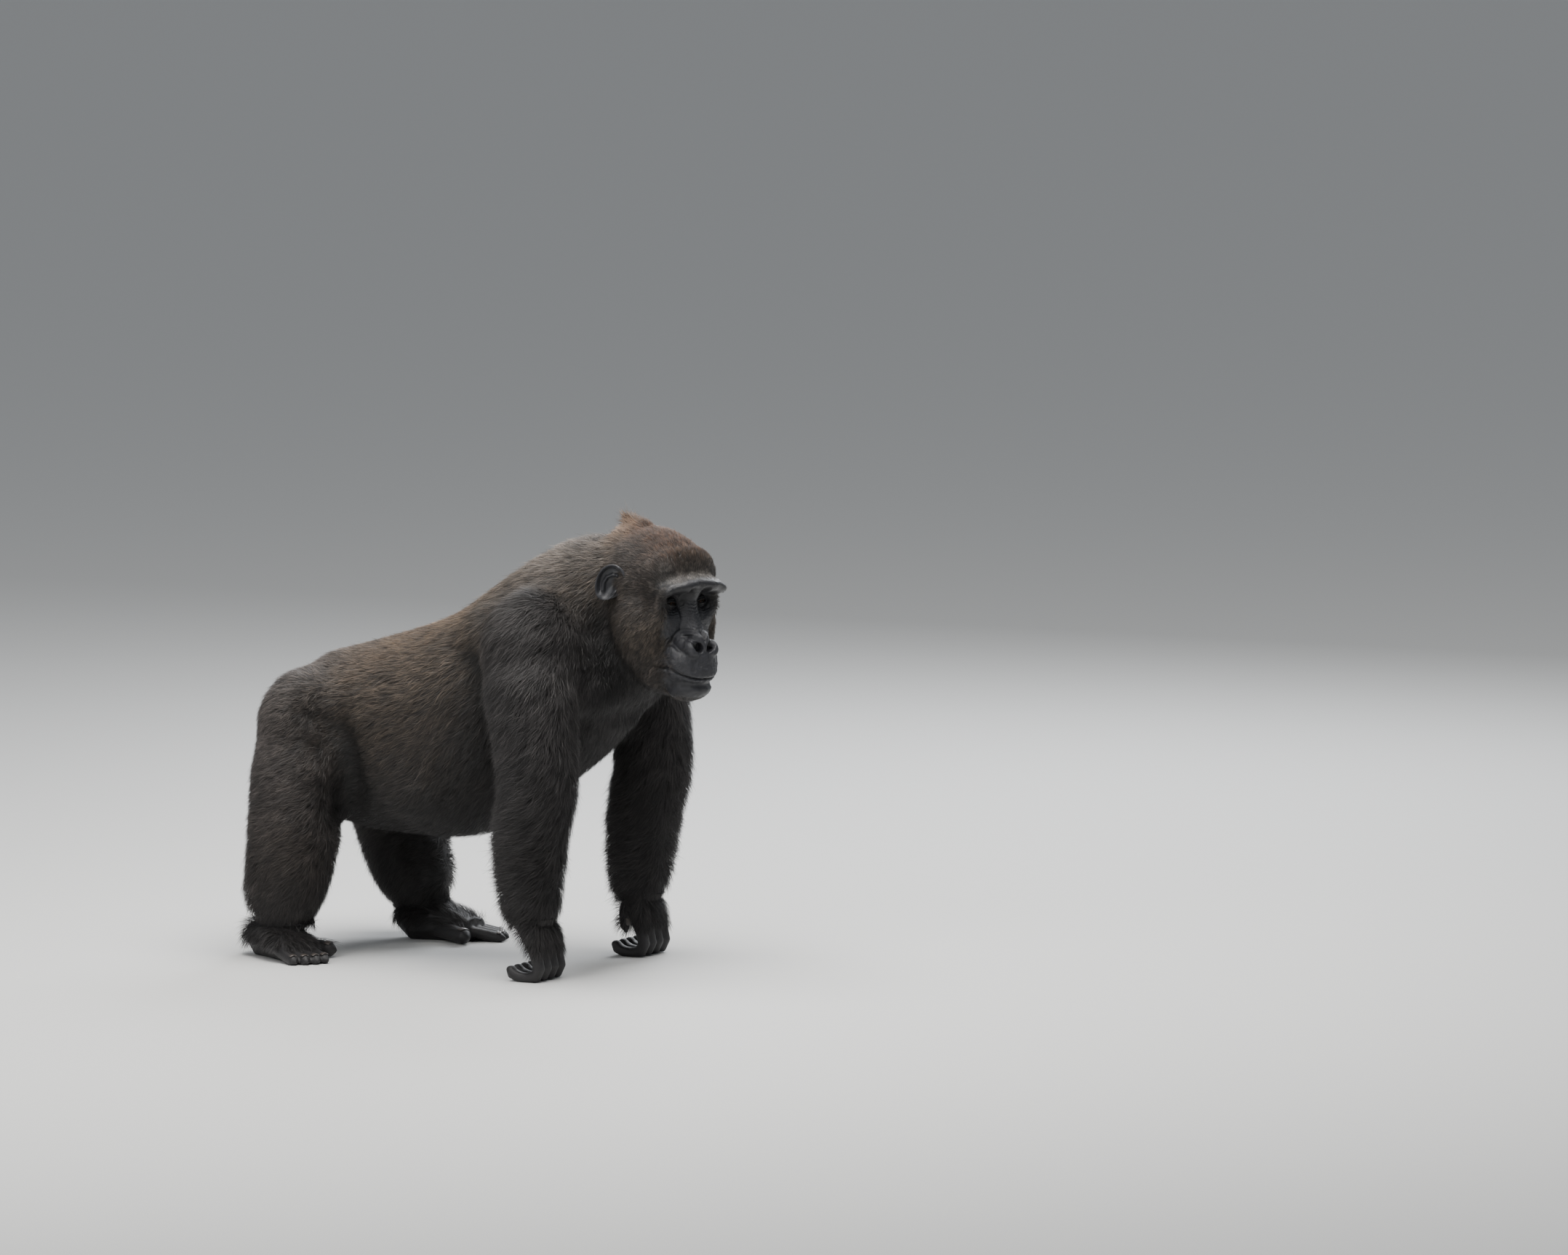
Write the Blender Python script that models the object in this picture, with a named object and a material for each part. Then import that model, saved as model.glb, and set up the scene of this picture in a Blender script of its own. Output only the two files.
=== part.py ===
"""Western lowland gorilla: an adult female standing on four limbs, with her head turned to her right.

Metres, +Z up. She faces +X, her right side is towards -Y, and her soles and knuckles rest on Z = 0.
The coat is part of every size, out to the tips of the hair. The body is modelled whole from lofted
limbs and rounded masses, and then parted at its joints by thin cuts.
"""

import math

import bmesh
import bpy
import numpy as np
from mathutils import Matrix, Vector
from mathutils.bvhtree import BVHTree

# ---------------------------------------------------------------- driving dimensions
UP = Vector((0, 0, 1))
FLAT_ANGLE = math.radians(0.05)  # facets nearer to one plane than this are joined
GAP = 0.0003  # clearance between pieces that touch
CUT_BLADE = 0.0003  # thickness of the cuts that part the body
COARSE_VOXEL = 0.0085  # cell in which trunk and limbs are fused and softened into each other
FINE_VOXEL = 0.0045  # cell in which head, hands and feet are added
HEAD_TRIANGLES = 1340
BODY_TRIANGLES = 1600  # of the rest of the body, before it is parted

# Trunk, station by station from rump to breast: place on X, top, bottom and half width.
TRUNK = {
    "rump": (-0.450, 0.548, 0.300, 0.105),
    "hips": (-0.400, 0.580, 0.262, 0.152),
    "loin": (-0.300, 0.608, 0.238, 0.176),
    "belly": (-0.190, 0.642, 0.232, 0.196),
    "waist": (-0.090, 0.684, 0.234, 0.204),
    "ribs": (0.010, 0.754, 0.270, 0.196),
    "withers": (0.100, 0.810, 0.334, 0.174),
    "chest": (0.190, 0.822, 0.404, 0.150),
    "breast": (0.262, 0.750, 0.476, 0.108),
}

# Arm, from shoulder to knuckles: place on X, distance from the midline, height,
# half width across the body and half depth along it.
ARM = {
    "shoulder": (0.136, 0.176, 0.672, 0.078, 0.092),
    "deltoid": (0.158, 0.203, 0.560, 0.084, 0.096),
    "upper_arm": (0.176, 0.213, 0.460, 0.079, 0.088),
    "elbow": (0.181, 0.216, 0.365, 0.075, 0.084),
    "forearm": (0.166, 0.213, 0.285, 0.072, 0.081),
    "cuff": (0.160, 0.207, 0.195, 0.065, 0.074),
    "wrist": (0.160, 0.202, 0.132, 0.057, 0.062),
    "fringe": (0.166, 0.200, 0.098, 0.046, 0.040),
}

# Hand, from under the cuff to the knuckles, in the same terms.
HAND = {
    "wrist": (0.160, 0.202, 0.150, 0.050, 0.050),
    "back_of_hand": (0.168, 0.198, 0.108, 0.052, 0.037),
    "knuckles": (0.184, 0.197, 0.070, 0.051, 0.024),
    "finger_roots": (0.192, 0.197, 0.052, 0.050, 0.018),
}

# Leg, from hip to heel: height, distance from the midline, half width and half depth.
LEG = {
    "hip": (0.450, 0.092, 0.100, 0.108),
    "thigh": (0.360, 0.146, 0.094, 0.104),
    "knee": (0.240, 0.182, 0.078, 0.098),
    "calf": (0.165, 0.184, 0.068, 0.095),
    "shin": (0.112, 0.178, 0.058, 0.086),
    "ankle": (0.066, 0.172, 0.047, 0.066),
}
# Where each station of the leg lies on X: the right foot is set behind the left one.
STANCE = {
    -1: (-0.385, -0.386, -0.386, -0.400, -0.422, -0.444),
    1: (-0.385, -0.384, -0.374, -0.350, -0.322, -0.306),
}
TOE_OUT = {-1: math.radians(27), 1: math.radians(20)}

# Foot, from heel to toes: distance ahead of the ankle, height of centre, half width, half depth.
FOOT = {
    "heel": (-0.056, 0.030, 0.030, 0.030),
    "hind_foot": (-0.030, 0.038, 0.038, 0.042),
    "instep": (0.030, 0.040, 0.042, 0.044),
    "ball": (0.085, 0.024, 0.047, 0.028),
    "toe_roots": (0.118, 0.018, 0.045, 0.020),
}
SOLE_DEPTH = 0.0035  # what lies lower than this is pressed flat on the floor
TOE_LENGTH = (0.058, 0.060, 0.055, 0.046)  # second to fifth, past the ball of the foot
TOE_PITCH = 0.0215
TOE_HALF = 0.0098
GREAT_TOE = (0.080, 0.0160, math.radians(40))  # length, half width, spread from the foot

FINGERS = ("index", "middle", "ring", "little")
FINGER_PITCH = 0.0258
FINGER_HALF = 0.0122
# Profile of a bent finger, in the plane of X and Z: ahead of the knuckle, height, half depth.
FINGER = {
    "root": (-0.014, 0.090, 0.0120),
    "knuckle": (0.000, 0.064, 0.0128),
    "upper_joint": (0.012, 0.026, 0.0120),
    "floor": (-0.004, 0.0064, 0.0138),
    "lower_joint": (-0.032, 0.0072, 0.0132),
    "pad": (-0.050, 0.0190, 0.0122),
    "tip": (-0.0485, 0.0370, 0.0104),
}
THUMB_HALF = 0.0108

# Head. Its own frame starts midway between the eyes: forward, left, up.
FACE_ORIGIN = Vector((0.427, -0.067, 0.727))
HEAD_YAW = math.radians(-22)  # turned to her right
EYE_SPREAD = 0.0355  # of each eye from the midline
EYE_RADIUS = 0.0125
EYE_BACK = 0.0135  # centre of the ball behind the face origin
EAR_PLACE = (-0.110, 0.104, 0.0345)
EAR_SIZE = (0.056, 0.075, 0.014)  # breadth, height, depth of the cup
EAR_SWING = math.radians(32)  # of its hind edge away from the head
EAR_THICK = 0.0055
NAIL_THICK = 0.0016
NAIL_ROWS = (0.10, 0.50, 0.92)  # share of the last facet but one, from its root end


# ---------------------------------------------------------------- scene and finish
def clear_scene():
    """Start from an empty scene."""
    for thing in list(bpy.data.objects):
        bpy.data.objects.remove(thing, do_unlink=True)


def finish(name, colour, roughness):
    """A plain Principled finish, made once for each name."""
    made = bpy.data.materials.get(name)
    if made:
        return made
    made = bpy.data.materials.new(name)
    made.use_nodes = True
    shader = made.node_tree.nodes["Principled BSDF"]
    shader.inputs["Base Color"].default_value = (*colour, 1.0)
    shader.inputs["Roughness"].default_value = roughness
    shader.inputs["Metallic"].default_value = 0.0
    return made


FINISHES = {
    "black_coat": ((0.030, 0.028, 0.030), 0.75),
    "grey_coat": ((0.110, 0.090, 0.072), 0.80),
    "chestnut_coat": ((0.100, 0.055, 0.034), 0.78),
    "bare_skin": ((0.028, 0.027, 0.031), 0.50),
    "eye": ((0.020, 0.010, 0.006), 0.08),
    "nail": ((0.050, 0.042, 0.038), 0.40),
}


def to_object(name, mesh, look, smooth=True):
    """Put a mesh in the scene under a name, in triangles, with its finish."""
    faces = bmesh.new()
    faces.from_mesh(mesh)
    bmesh.ops.triangulate(faces, faces=faces.faces)
    faces.to_mesh(mesh)
    faces.free()
    made = bpy.data.objects.new(name, mesh)
    bpy.context.scene.collection.objects.link(made)
    mesh.materials.clear()
    mesh.materials.append(finish(look, *FINISHES[look]))
    if smooth:
        mesh.shade_smooth()
        mesh.set_sharp_from_angle(angle=math.radians(50))
    return made


# ---------------------------------------------------------------- shapes
def spline(rows, count):
    """Even steps along the smooth Catmull-Rom curve through rows, in every column at once."""
    rows = np.asarray(rows, float)
    padded = np.vstack([2 * rows[0] - rows[1], rows, 2 * rows[-1] - rows[-2]])
    at = np.linspace(0, len(rows) - 1 - 1e-9, count)
    first = at.astype(int)
    t = (at - first)[:, None]
    a, b, c, d = (padded[first + i] for i in range(4))
    return 0.5 * (2 * b + (c - a) * t + (2 * a - 5 * b + 4 * c - d) * t**2 + (3 * b - a - 3 * c + d) * t**3)


def unit(rows):
    """Each row at length one."""
    return rows / np.linalg.norm(rows, axis=1, keepdims=True)


def tube(bm, rows, across, sides=28, rings=26, square=2.0, domed=(0, 0), facing=None):
    """Loft a closed tube along a smooth path.

    Each row is a centre and two half sizes, along the direction across and at right angles to it.
    Sections are superellipses: 2 is an ellipse, more is squarer. domed rounds the two ends off,
    each over its share of the path. facing, where it is given, holds every section square to that
    direction. Nothing reaches below the floor, Z = 0.
    """
    path = spline(rows, rings)
    centres = path[:, :3]
    half = path[:, 3:]
    along = unit(np.gradient(centres, axis=0))
    if facing:
        along = np.tile(np.asarray(facing, float), (rings, 1))
    side = np.asarray(across, float) - along * (along @ np.asarray(across, float))[:, None]
    side = unit(side)
    deep = np.cross(along, side)
    place = np.linspace(0, 1, rings)
    for share, far in zip(domed, (1 - place, place)):
        inward = np.clip((far - (1 - share)) / max(share, 1e-6), 0, 0.985)
        half = half * np.sqrt(1 - inward**2)[:, None]
    turn = np.linspace(0, 2 * math.pi, sides, endpoint=False)
    wide = np.sign(np.cos(turn)) * np.abs(np.cos(turn)) ** (2 / square)
    high = np.sign(np.sin(turn)) * np.abs(np.sin(turn)) ** (2 / square)
    places = (
        centres[:, None]
        + side[:, None] * (half[:, :1] * wide)[:, :, None]
        + deep[:, None] * (half[:, 1:2] * high)[:, :, None]
    )
    places[:, :, 2] = np.maximum(places[:, :, 2], 0.0)
    grid = [[bm.verts.new(place) for place in ring] for ring in places]
    for lower, upper in zip(grid, grid[1:]):
        for i in range(sides):
            j = (i + 1) % sides
            bm.faces.new((lower[i], lower[j], upper[j], upper[i]))
    bm.faces.new(reversed(grid[0]))
    bm.faces.new(grid[-1])
    return places


def head_turn():
    """The turn of the head about +Z."""
    return Matrix.Rotation(HEAD_YAW, 4, "Z")


def in_head(forward, left, up):
    """A place given in the head's own frame."""
    return FACE_ORIGIN + head_turn() @ Vector((forward, left, up))


def ball(bm, centre, sizes, turn=Matrix.Identity(4), fineness=4):
    """A rounded mass: an ellipsoid of three half sizes."""
    place = Matrix.Translation(centre) @ turn @ Matrix.Diagonal((*sizes, 1.0))
    bmesh.ops.create_icosphere(bm, subdivisions=fineness, radius=1.0, matrix=place)


def head_ball(bm, forward, left, up, sizes, pitch=0.0, roll=0.0):
    """A rounded mass in the head's frame, and its twin where it is off the midline."""
    for hand in ((1, -1) if left else (1,)):
        turn = head_turn() @ Matrix.Rotation(-pitch, 4, "Y") @ Matrix.Rotation(hand * roll, 4, "Z")
        ball(bm, in_head(forward, hand * left, up), sizes, turn)


def mesh_from(bm, name):
    """Finish a bmesh into a mesh whose faces point outwards."""
    bmesh.ops.recalc_face_normals(bm, faces=bm.faces)
    mesh = bpy.data.meshes.new(name)
    bm.to_mesh(mesh)
    bm.free()
    return mesh


def with_modifiers(mesh, *settings):
    """The mesh after a row of modifiers, each a type and its values."""
    holder = bpy.data.objects.new("holder", mesh)
    bpy.context.scene.collection.objects.link(holder)
    for kind, values in settings:
        modifier = holder.modifiers.new(kind.lower(), kind)
        for key, value in values.items():
            setattr(modifier, key, value)
    bpy.context.view_layer.update()
    seen = holder.evaluated_get(bpy.context.evaluated_depsgraph_get())
    made = bpy.data.meshes.new_from_object(seen)
    bpy.data.objects.remove(holder, do_unlink=True)
    return made


def coordinates(mesh):
    """The mesh's vertices as an array."""
    places = np.empty(len(mesh.vertices) * 3, np.float32)
    mesh.vertices.foreach_get("co", places)
    return places.reshape(-1, 3)


def minus(mesh, cutter, clearance=0.0):
    """Cut one mesh with another, swollen by the clearance."""
    swollen = cutter.copy()
    if clearance:
        places = coordinates(cutter)
        normals = np.empty(len(cutter.vertices) * 3, np.float32)
        cutter.vertices.foreach_get("normal", normals)
        places = places + clearance * normals.reshape(-1, 3)
        swollen.vertices.foreach_set("co", places.ravel())
        swollen.update()
    blade = bpy.data.objects.new("blade", swollen)
    bpy.context.scene.collection.objects.link(blade)
    cut = with_modifiers(mesh, ("BOOLEAN", {"operation": "DIFFERENCE", "object": blade}))
    bpy.data.objects.remove(blade, do_unlink=True)
    return cut


def largest_piece(mesh):
    """Keep the biggest of a mesh's separate bodies."""
    return max(bodies(mesh), key=lambda body: len(body.vertices))


def bodies(mesh):
    """The separate bodies of a mesh, each as a mesh of its own."""
    whole = bmesh.new()
    whole.from_mesh(mesh)
    waiting = set(whole.verts)
    found = []
    while waiting:
        start = waiting.pop()
        group = {start}
        edge = [start]
        while edge:
            vertex = edge.pop()
            for link in vertex.link_edges:
                other = link.other_vert(vertex)
                if other not in group:
                    group.add(other)
                    edge.append(other)
        waiting -= group
        found.append({vertex.index for vertex in group})
    whole.free()
    made = []
    for group in found:
        part = bmesh.new()
        part.from_mesh(mesh)
        part.verts.ensure_lookup_table()
        spare = [vertex for vertex in part.verts if vertex.index not in group]
        bmesh.ops.delete(part, geom=spare, context="VERTS")
        bmesh.ops.dissolve_limit(part, angle_limit=FLAT_ANGLE, verts=part.verts, edges=part.edges)
        one = bpy.data.meshes.new("body")
        part.to_mesh(one)
        part.free()
        made.append(one)
    return made


# ---------------------------------------------------------------- masses of the body
def add_trunk(bm):
    """Ribs, belly and rump as one loft, with the masses of hips, shoulder blades and breast."""
    rows = [(x, 0, (top + low) / 2, half, (top - low) / 2) for x, top, low, half in TRUNK.values()]
    tube(bm, rows, (0, 1, 0), sides=40, rings=40, square=2.25, facing=(1, 0, 0))
    ball(bm, (-0.384, 0, 0.412), (0.106, 0.150, 0.146))
    ball(bm, (-0.130, 0, 0.372), (0.190, 0.205, 0.142))
    for hand in (-1, 1):
        ball(bm, (-0.390, hand * 0.100, 0.446), (0.110, 0.120, 0.116))
        ball(bm, (0.070, hand * 0.108, 0.622), (0.120, 0.094, 0.108))
        ball(bm, (0.142, hand * 0.158, 0.622), (0.108, 0.104, 0.130))
        ball(bm, (0.215, hand * 0.075, 0.575), (0.078, 0.088, 0.090))


def add_neck(bm):
    """Short thick neck, from between the shoulders to the back of the skull."""
    rows = (
        (0.110, 0.000, 0.664, 0.124, 0.128),
        (0.175, -0.004, 0.699, 0.118, 0.135),
        (0.240, -0.012, 0.719, 0.094, 0.129),
        (0.300, -0.028, 0.716, 0.080, 0.108),
    )
    tube(bm, rows, (0, 1, 0), square=2.15)
    ball(bm, (0.262, -0.016, 0.610), (0.086, 0.092, 0.102))
    ball(bm, (0.186, 0, 0.752), (0.095, 0.080, 0.082))


def arm_rows(hand, stations):
    """Centre line and sizes of one arm or hand."""
    return [(x, hand * out, z, half, deep) for x, out, z, half, deep in stations.values()]


def leg_rows(hand):
    """Centre line and sizes of one leg, over its foot."""
    return [
        (x, hand * out, z, half, deep)
        for x, (z, out, half, deep) in zip(STANCE[hand], LEG.values())
    ]


def foot_frame(hand):
    """Ankle on the floor, the way the foot points, and the way across it to the outer side."""
    x, out = STANCE[hand][-1], LEG["ankle"][1]
    ahead = Vector((math.cos(TOE_OUT[hand]), hand * math.sin(TOE_OUT[hand]), 0))
    outward = Vector((-math.sin(TOE_OUT[hand]), hand * math.cos(TOE_OUT[hand]), 0))
    return Vector((x, hand * out, 0)), ahead, outward


def add_limbs(bm):
    """Both arms down to the wrists, and both legs down to the ankles."""
    for hand in (-1, 1):
        tube(bm, arm_rows(hand, ARM), (0, 1, 0), rings=40, domed=(0.16, 0.05))
        tube(bm, leg_rows(hand), (0, 1, 0), rings=32, square=2.1, domed=(0.16, 0.06))


def add_hands_and_feet(bm):
    """The backs of both hands and both feet, without fingers and toes."""
    for hand in (-1, 1):
        tube(bm, arm_rows(hand, HAND), (0, 1, 0), rings=16, square=2.3)
        ankle, ahead, outward = foot_frame(hand)
        rows = [(*(ankle + ahead * far + UP * z), half, deep) for far, z, half, deep in FOOT.values()]
        tube(bm, rows, outward, rings=20, square=2.3, domed=(0.3, 0.15))


def add_head(bm):
    """Skull, brow, cheeks, muzzle, jaw and nose, in the head's own frame."""
    head_ball(bm, -0.112, 0, 0.030, (0.128, 0.097, 0.108))
    head_ball(bm, -0.152, 0, 0.066, (0.086, 0.076, 0.076))
    head_ball(bm, -0.035, 0, 0.050, (0.056, 0.082, 0.054))
    head_ball(bm, -0.084, 0.050, -0.048, (0.080, 0.054, 0.094))
    head_ball(bm, -0.040, 0, -0.040, (0.052, 0.078, 0.080))
    head_ball(bm, -0.062, 0, -0.116, (0.092, 0.076, 0.070))
    head_ball(bm, -0.008, 0, -0.112, (0.064, 0.060, 0.056))
    head_ball(bm, 0.010, 0, -0.128, (0.050, 0.047, 0.030))
    head_ball(bm, -0.004, 0, -0.162, (0.052, 0.044, 0.028))
    head_ball(bm, -0.006, 0.046, -0.034, (0.016, 0.026, 0.015))
    head_ball(bm, 0.000, 0.060, -0.006, (0.016, 0.013, 0.028))
    head_ball(bm, 0.015, 0, -0.044, (0.018, 0.016, 0.048), pitch=math.radians(-16))
    head_ball(bm, 0.034, 0, -0.078, (0.020, 0.022, 0.024))
    head_ball(bm, 0.034, 0.021, -0.088, (0.021, 0.020, 0.018))
    brow = []
    for step in range(9):
        swing = (step - 4) / 4
        place = in_head(0.024 - 0.016 * swing**2, 0.075 * swing, 0.037 - 0.013 * swing**2)
        brow.append((*place, 0.021 - 0.003 * swing**2, 0.0165 - 0.0030 * swing**2))
    tube(bm, brow, head_turn() @ Vector((1, 0, 0)), sides=20, rings=24, domed=(0.25, 0.25))


def dent(places, centre, reach, depth, push):
    """Press a soft hollow into the places around a centre, along the push direction."""
    apart = np.linalg.norm((places - np.asarray(centre)) / np.asarray(reach), axis=1)
    return places + np.exp(-(apart**2))[:, None] * depth * np.asarray(push)


def add_crest(bm):
    """The tuft of long hair that stands up at the back of the crown."""
    rows = [
        (*in_head(-0.150, 0, 0.108), 0.030, 0.050),
        (*in_head(-0.176, 0, 0.132), 0.022, 0.032),
        (*in_head(-0.198, 0, 0.160), 0.006, 0.008),
    ]
    tube(bm, rows, head_turn() @ Vector((0, 1, 0)), sides=20, rings=14)


def fused(mesh, voxel, rounds):
    """Fuse overlapping masses into one skin, and soften it by so many rounds of smoothing."""
    remesh = ("REMESH", {"mode": "VOXEL", "voxel_size": voxel})
    return with_modifiers(mesh, remesh, ("SMOOTH", {"factor": 0.5, "iterations": rounds}))


def whole_body():
    """All the flesh and coat as one closed mesh."""
    base = bmesh.new()
    add_trunk(base)
    add_neck(base)
    add_limbs(base)
    softened = fused(mesh_from(base, "body"), COARSE_VOXEL, 28)
    joined = bmesh.new()
    joined.from_mesh(softened)
    add_hands_and_feet(joined)
    add_head(joined)
    add_crest(joined)
    body = fused(mesh_from(joined, "body"), FINE_VOXEL, 3)
    places = coordinates(body).astype(float)
    back = head_turn() @ Vector((-1, 0, 0))
    for hand in (-1, 1):
        places = dent(places, in_head(0.004, hand * EYE_SPREAD, -0.001), (0.026, 0.018, 0.013), 0.011, back)
        places = dent(places, in_head(0.052, hand * 0.015, -0.085), (0.012, 0.008, 0.007), 0.007, back)
    places[:, 2] = np.maximum(places[:, 2], 0.0)
    body.vertices.foreach_set("co", places.astype(np.float32).ravel())
    body.update()
    return body


def lightened(mesh, triangles):
    """Thin a closed mesh out to a number of triangles, with its sole still flat on the floor."""
    mesh.calc_loop_triangles()
    ratio = triangles / len(mesh.loop_triangles)
    light = with_modifiers(mesh, ("DECIMATE", {"ratio": ratio, "use_collapse_triangulate": True}))
    places = coordinates(light)
    places[:, 2] = np.where(places[:, 2] < SOLE_DEPTH, 0.0, places[:, 2])
    light.vertices.foreach_set("co", places.ravel())
    light.update()
    return light


# ---------------------------------------------------------------- parting the body
def blade(centre, facing, half_width, half_height=None, thick=CUT_BLADE, level=(0, 0, 1)):
    """A thin flat plate, square to the facing direction, that cuts through a limb."""
    facing = Vector(facing).normalized()
    side = facing.cross(Vector(level)).normalized()
    up = side.cross(facing)
    turn = Matrix((side, up, facing)).transposed().to_4x4()
    size = Matrix.Diagonal((2 * half_width, 2 * (half_height or half_width), thick, 1.0))
    plate = bmesh.new()
    bmesh.ops.create_cube(plate, size=1.0, matrix=Matrix.Translation(centre) @ turn @ size)
    return mesh_from(plate, "blade")


def neck_cut(thick=CUT_BLADE):
    """The cut between head and neck."""
    return blade(in_head(-0.182, 0, -0.010), (0.88, -0.10, 0.36), 0.30, 0.24, thick)


def cuts():
    """Every other cut through the body: a place in the piece that it cuts, and its blade."""
    places = {name: place for name, (place, _) in flesh_places().items()}
    jaw = blade(in_head(-0.060, 0, -0.115), head_turn() @ Vector((0.24, 0, 1)), 0.20, level=(0, 1, 0))
    steps = [(places["head"], jaw)]
    for hand in (-1, 1):
        shoulder = blade((0.150, hand * 0.150, 0.600), (0.40, hand * 0.91, -0.10), 0.165, 0.25)
        hip = blade((-0.385, hand * 0.120, 0.400), (-0.40, hand * 0.80, -0.42), 0.200, 0.21)
        steps += [(places["chest"], shoulder), (places["pelvis"], hip)]
    steps += [
        (places["chest"], blade((0.212, 0, 0.700), (1.0, 0, 0.45), 0.5)),
        (places["chest"], blade((0.008, 0, 0.480), (1, 0, 0.12), 0.5)),
        (places["pelvis"], blade((-0.245, 0, 0.430), (1, 0, 0.10), 0.5)),
    ]
    for hand, side in ((-1, "right"), (1, "left")):
        knee, ankle = leg_rows(hand)[2], leg_rows(hand)[-1]
        steps += [
            (places[f"upper_arm_{side}"], blade((0.176, hand * 0.215, 0.372), UP, 0.2, level=(1, 0, 0))),
            (places[f"forearm_{side}"], blade((0.165, hand * 0.202, 0.140), UP, 0.2, level=(1, 0, 0))),
            (places[f"thigh_{side}"], blade((knee[0], knee[1], 0.228), (0.1, 0, 1), 0.2, level=(1, 0, 0))),
            (places[f"shank_{side}"], blade((ankle[0], ankle[1], 0.078), (-0.1, 0, 1), 0.2, level=(1, 0, 0))),
        ]
    return steps


# Where each part of the body lies, with the finish of its node.
def flesh_places():
    """A place inside each part of the body, by the name of its node."""
    places = {
        "head": (in_head(-0.100, 0, 0.020), "chestnut_coat"),
        "jaw": (in_head(-0.030, 0, -0.160), "bare_skin"),
        "neck": (Vector((0.238, 0, 0.716)), "black_coat"),
        "chest": (Vector((0.090, 0, 0.560)), "black_coat"),
        "abdomen": (Vector((-0.130, 0, 0.440)), "grey_coat"),
        "pelvis": (Vector((-0.360, 0, 0.450)), "grey_coat"),
    }
    for hand, side in ((-1, "right"), (1, "left")):
        leg = leg_rows(hand)
        places[f"upper_arm_{side}"] = (Vector((0.160, hand * 0.210, 0.480)), "black_coat")
        places[f"forearm_{side}"] = (Vector((0.172, hand * 0.210, 0.270)), "black_coat")
        places[f"hand_{side}"] = (Vector((0.170, hand * 0.198, 0.105)), "black_coat")
        places[f"thigh_{side}"] = (Vector(leg[1][:3]), "grey_coat")
        places[f"shank_{side}"] = (Vector(leg[3][:3]), "black_coat")
        places[f"foot_{side}"] = (foot_frame(hand)[0] + Vector((0, 0, 0.035)), "bare_skin")
    return places


def parted_body():
    """The body's parts by name, each as a mesh with its finish."""
    head, rest = sorted(bodies(minus(whole_body(), neck_cut())), key=lambda part: len(part.vertices))
    parts = [
        minus(lightened(head, HEAD_TRIANGLES), neck_cut(3 * CUT_BLADE)),
        minus(lightened(rest, BODY_TRIANGLES), neck_cut(3 * CUT_BLADE)),
    ]
    for place, plate in cuts():
        whole = next(part for part in parts if holds(part, place))
        parts.remove(whole)
        parts += bodies(minus(whole, plate))
    return {
        name: (next(part for part in parts if holds(part, place)), look)
        for name, (place, look) in flesh_places().items()
    }


def holds(mesh, place):
    """Whether a place is inside a closed mesh: a ray from it meets the faces an odd number of times."""
    probe = bmesh.new()
    probe.from_mesh(mesh)
    tree = BVHTree.FromBMesh(probe)
    probe.free()
    ray = Vector((0.123, 0.217, 0.968)).normalized()
    start, hits = Vector(place), 0
    while True:
        found = tree.ray_cast(start, ray)[0]
        if found is None:
            return hits % 2 == 1
        hits += 1
        start = found + ray * 1e-5


# ---------------------------------------------------------------- eyes, ears, fingers, toes, nails
def eye(hand):
    """One eyeball."""
    bm = bmesh.new()
    place = Matrix.Translation(in_head(-EYE_BACK, hand * EYE_SPREAD, 0)) @ head_turn()
    facing = place @ Matrix.Rotation(math.pi / 2, 4, "Y")
    bmesh.ops.create_uvsphere(bm, u_segments=12, v_segments=7, radius=EYE_RADIUS, matrix=facing)
    bmesh.ops.triangulate(bm, faces=bm.faces)
    return mesh_from(bm, "eye")


def ear(hand, spokes=12, steps=4):
    """One ear: an egg-shaped cup with a raised rim, its front edge sunk in the side of the head.

    Both faces are grids of angle and radius. The inner face dips towards the middle and rises
    again to the rim, and the outer face follows it at the ear's thickness, thinner at the edge.
    """
    breadth, height, cup = EAR_SIZE
    back = head_turn() @ Vector((-math.cos(EAR_SWING), hand * math.sin(EAR_SWING), 0))
    front = back.cross(UP) * hand
    centre = in_head(EAR_PLACE[0], hand * EAR_PLACE[1], EAR_PLACE[2])
    bm = bmesh.new()
    faces = []
    for layer in (0, 1):
        rings = []
        for step in range(1, steps + 1):
            radius = step / steps
            dip = -cup * (1 - radius**2) + 0.25 * cup * math.sin(math.pi * radius**3)
            edge = math.sqrt(max(1 - radius**6, 0.12))
            out = front * (dip - layer * EAR_THICK * edge)
            ring = []
            for spoke in range(spokes):
                angle = 2 * math.pi * spoke / spokes
                across = 0.5 * breadth * radius * math.cos(angle) * (1 + 0.16 * math.sin(angle))
                up = 0.5 * height * radius * math.sin(angle)
                ring.append(bm.verts.new(centre + back * across + UP * up + out))
            rings.append(ring)
        middle = bm.verts.new(centre + front * (-cup - layer * EAR_THICK))
        for i in range(spokes):
            j = (i + 1) % spokes
            bm.faces.new((middle, rings[0][i], rings[0][j]))
            for inner, outer in zip(rings, rings[1:]):
                bm.faces.new((inner[i], outer[i], outer[j], inner[j]))
        faces.append(rings[-1])
    for i in range(spokes):
        j = (i + 1) % spokes
        bm.faces.new((faces[0][i], faces[1][i], faces[1][j], faces[0][j]))
    bmesh.ops.triangulate(bm, faces=bm.faces)
    return mesh_from(bm, "ear")


def digit(rows, across, rings=8):
    """One finger or toe, with the rings of its surface and the path through their centres."""
    bm = bmesh.new()
    places = tube(bm, rows, across, sides=8, rings=rings, square=2.3, domed=(0, 0.22))
    bmesh.ops.triangulate(bm, faces=bm.faces)
    return mesh_from(bm, "digit"), places, spline(rows, rings)[:, :3]


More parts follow.
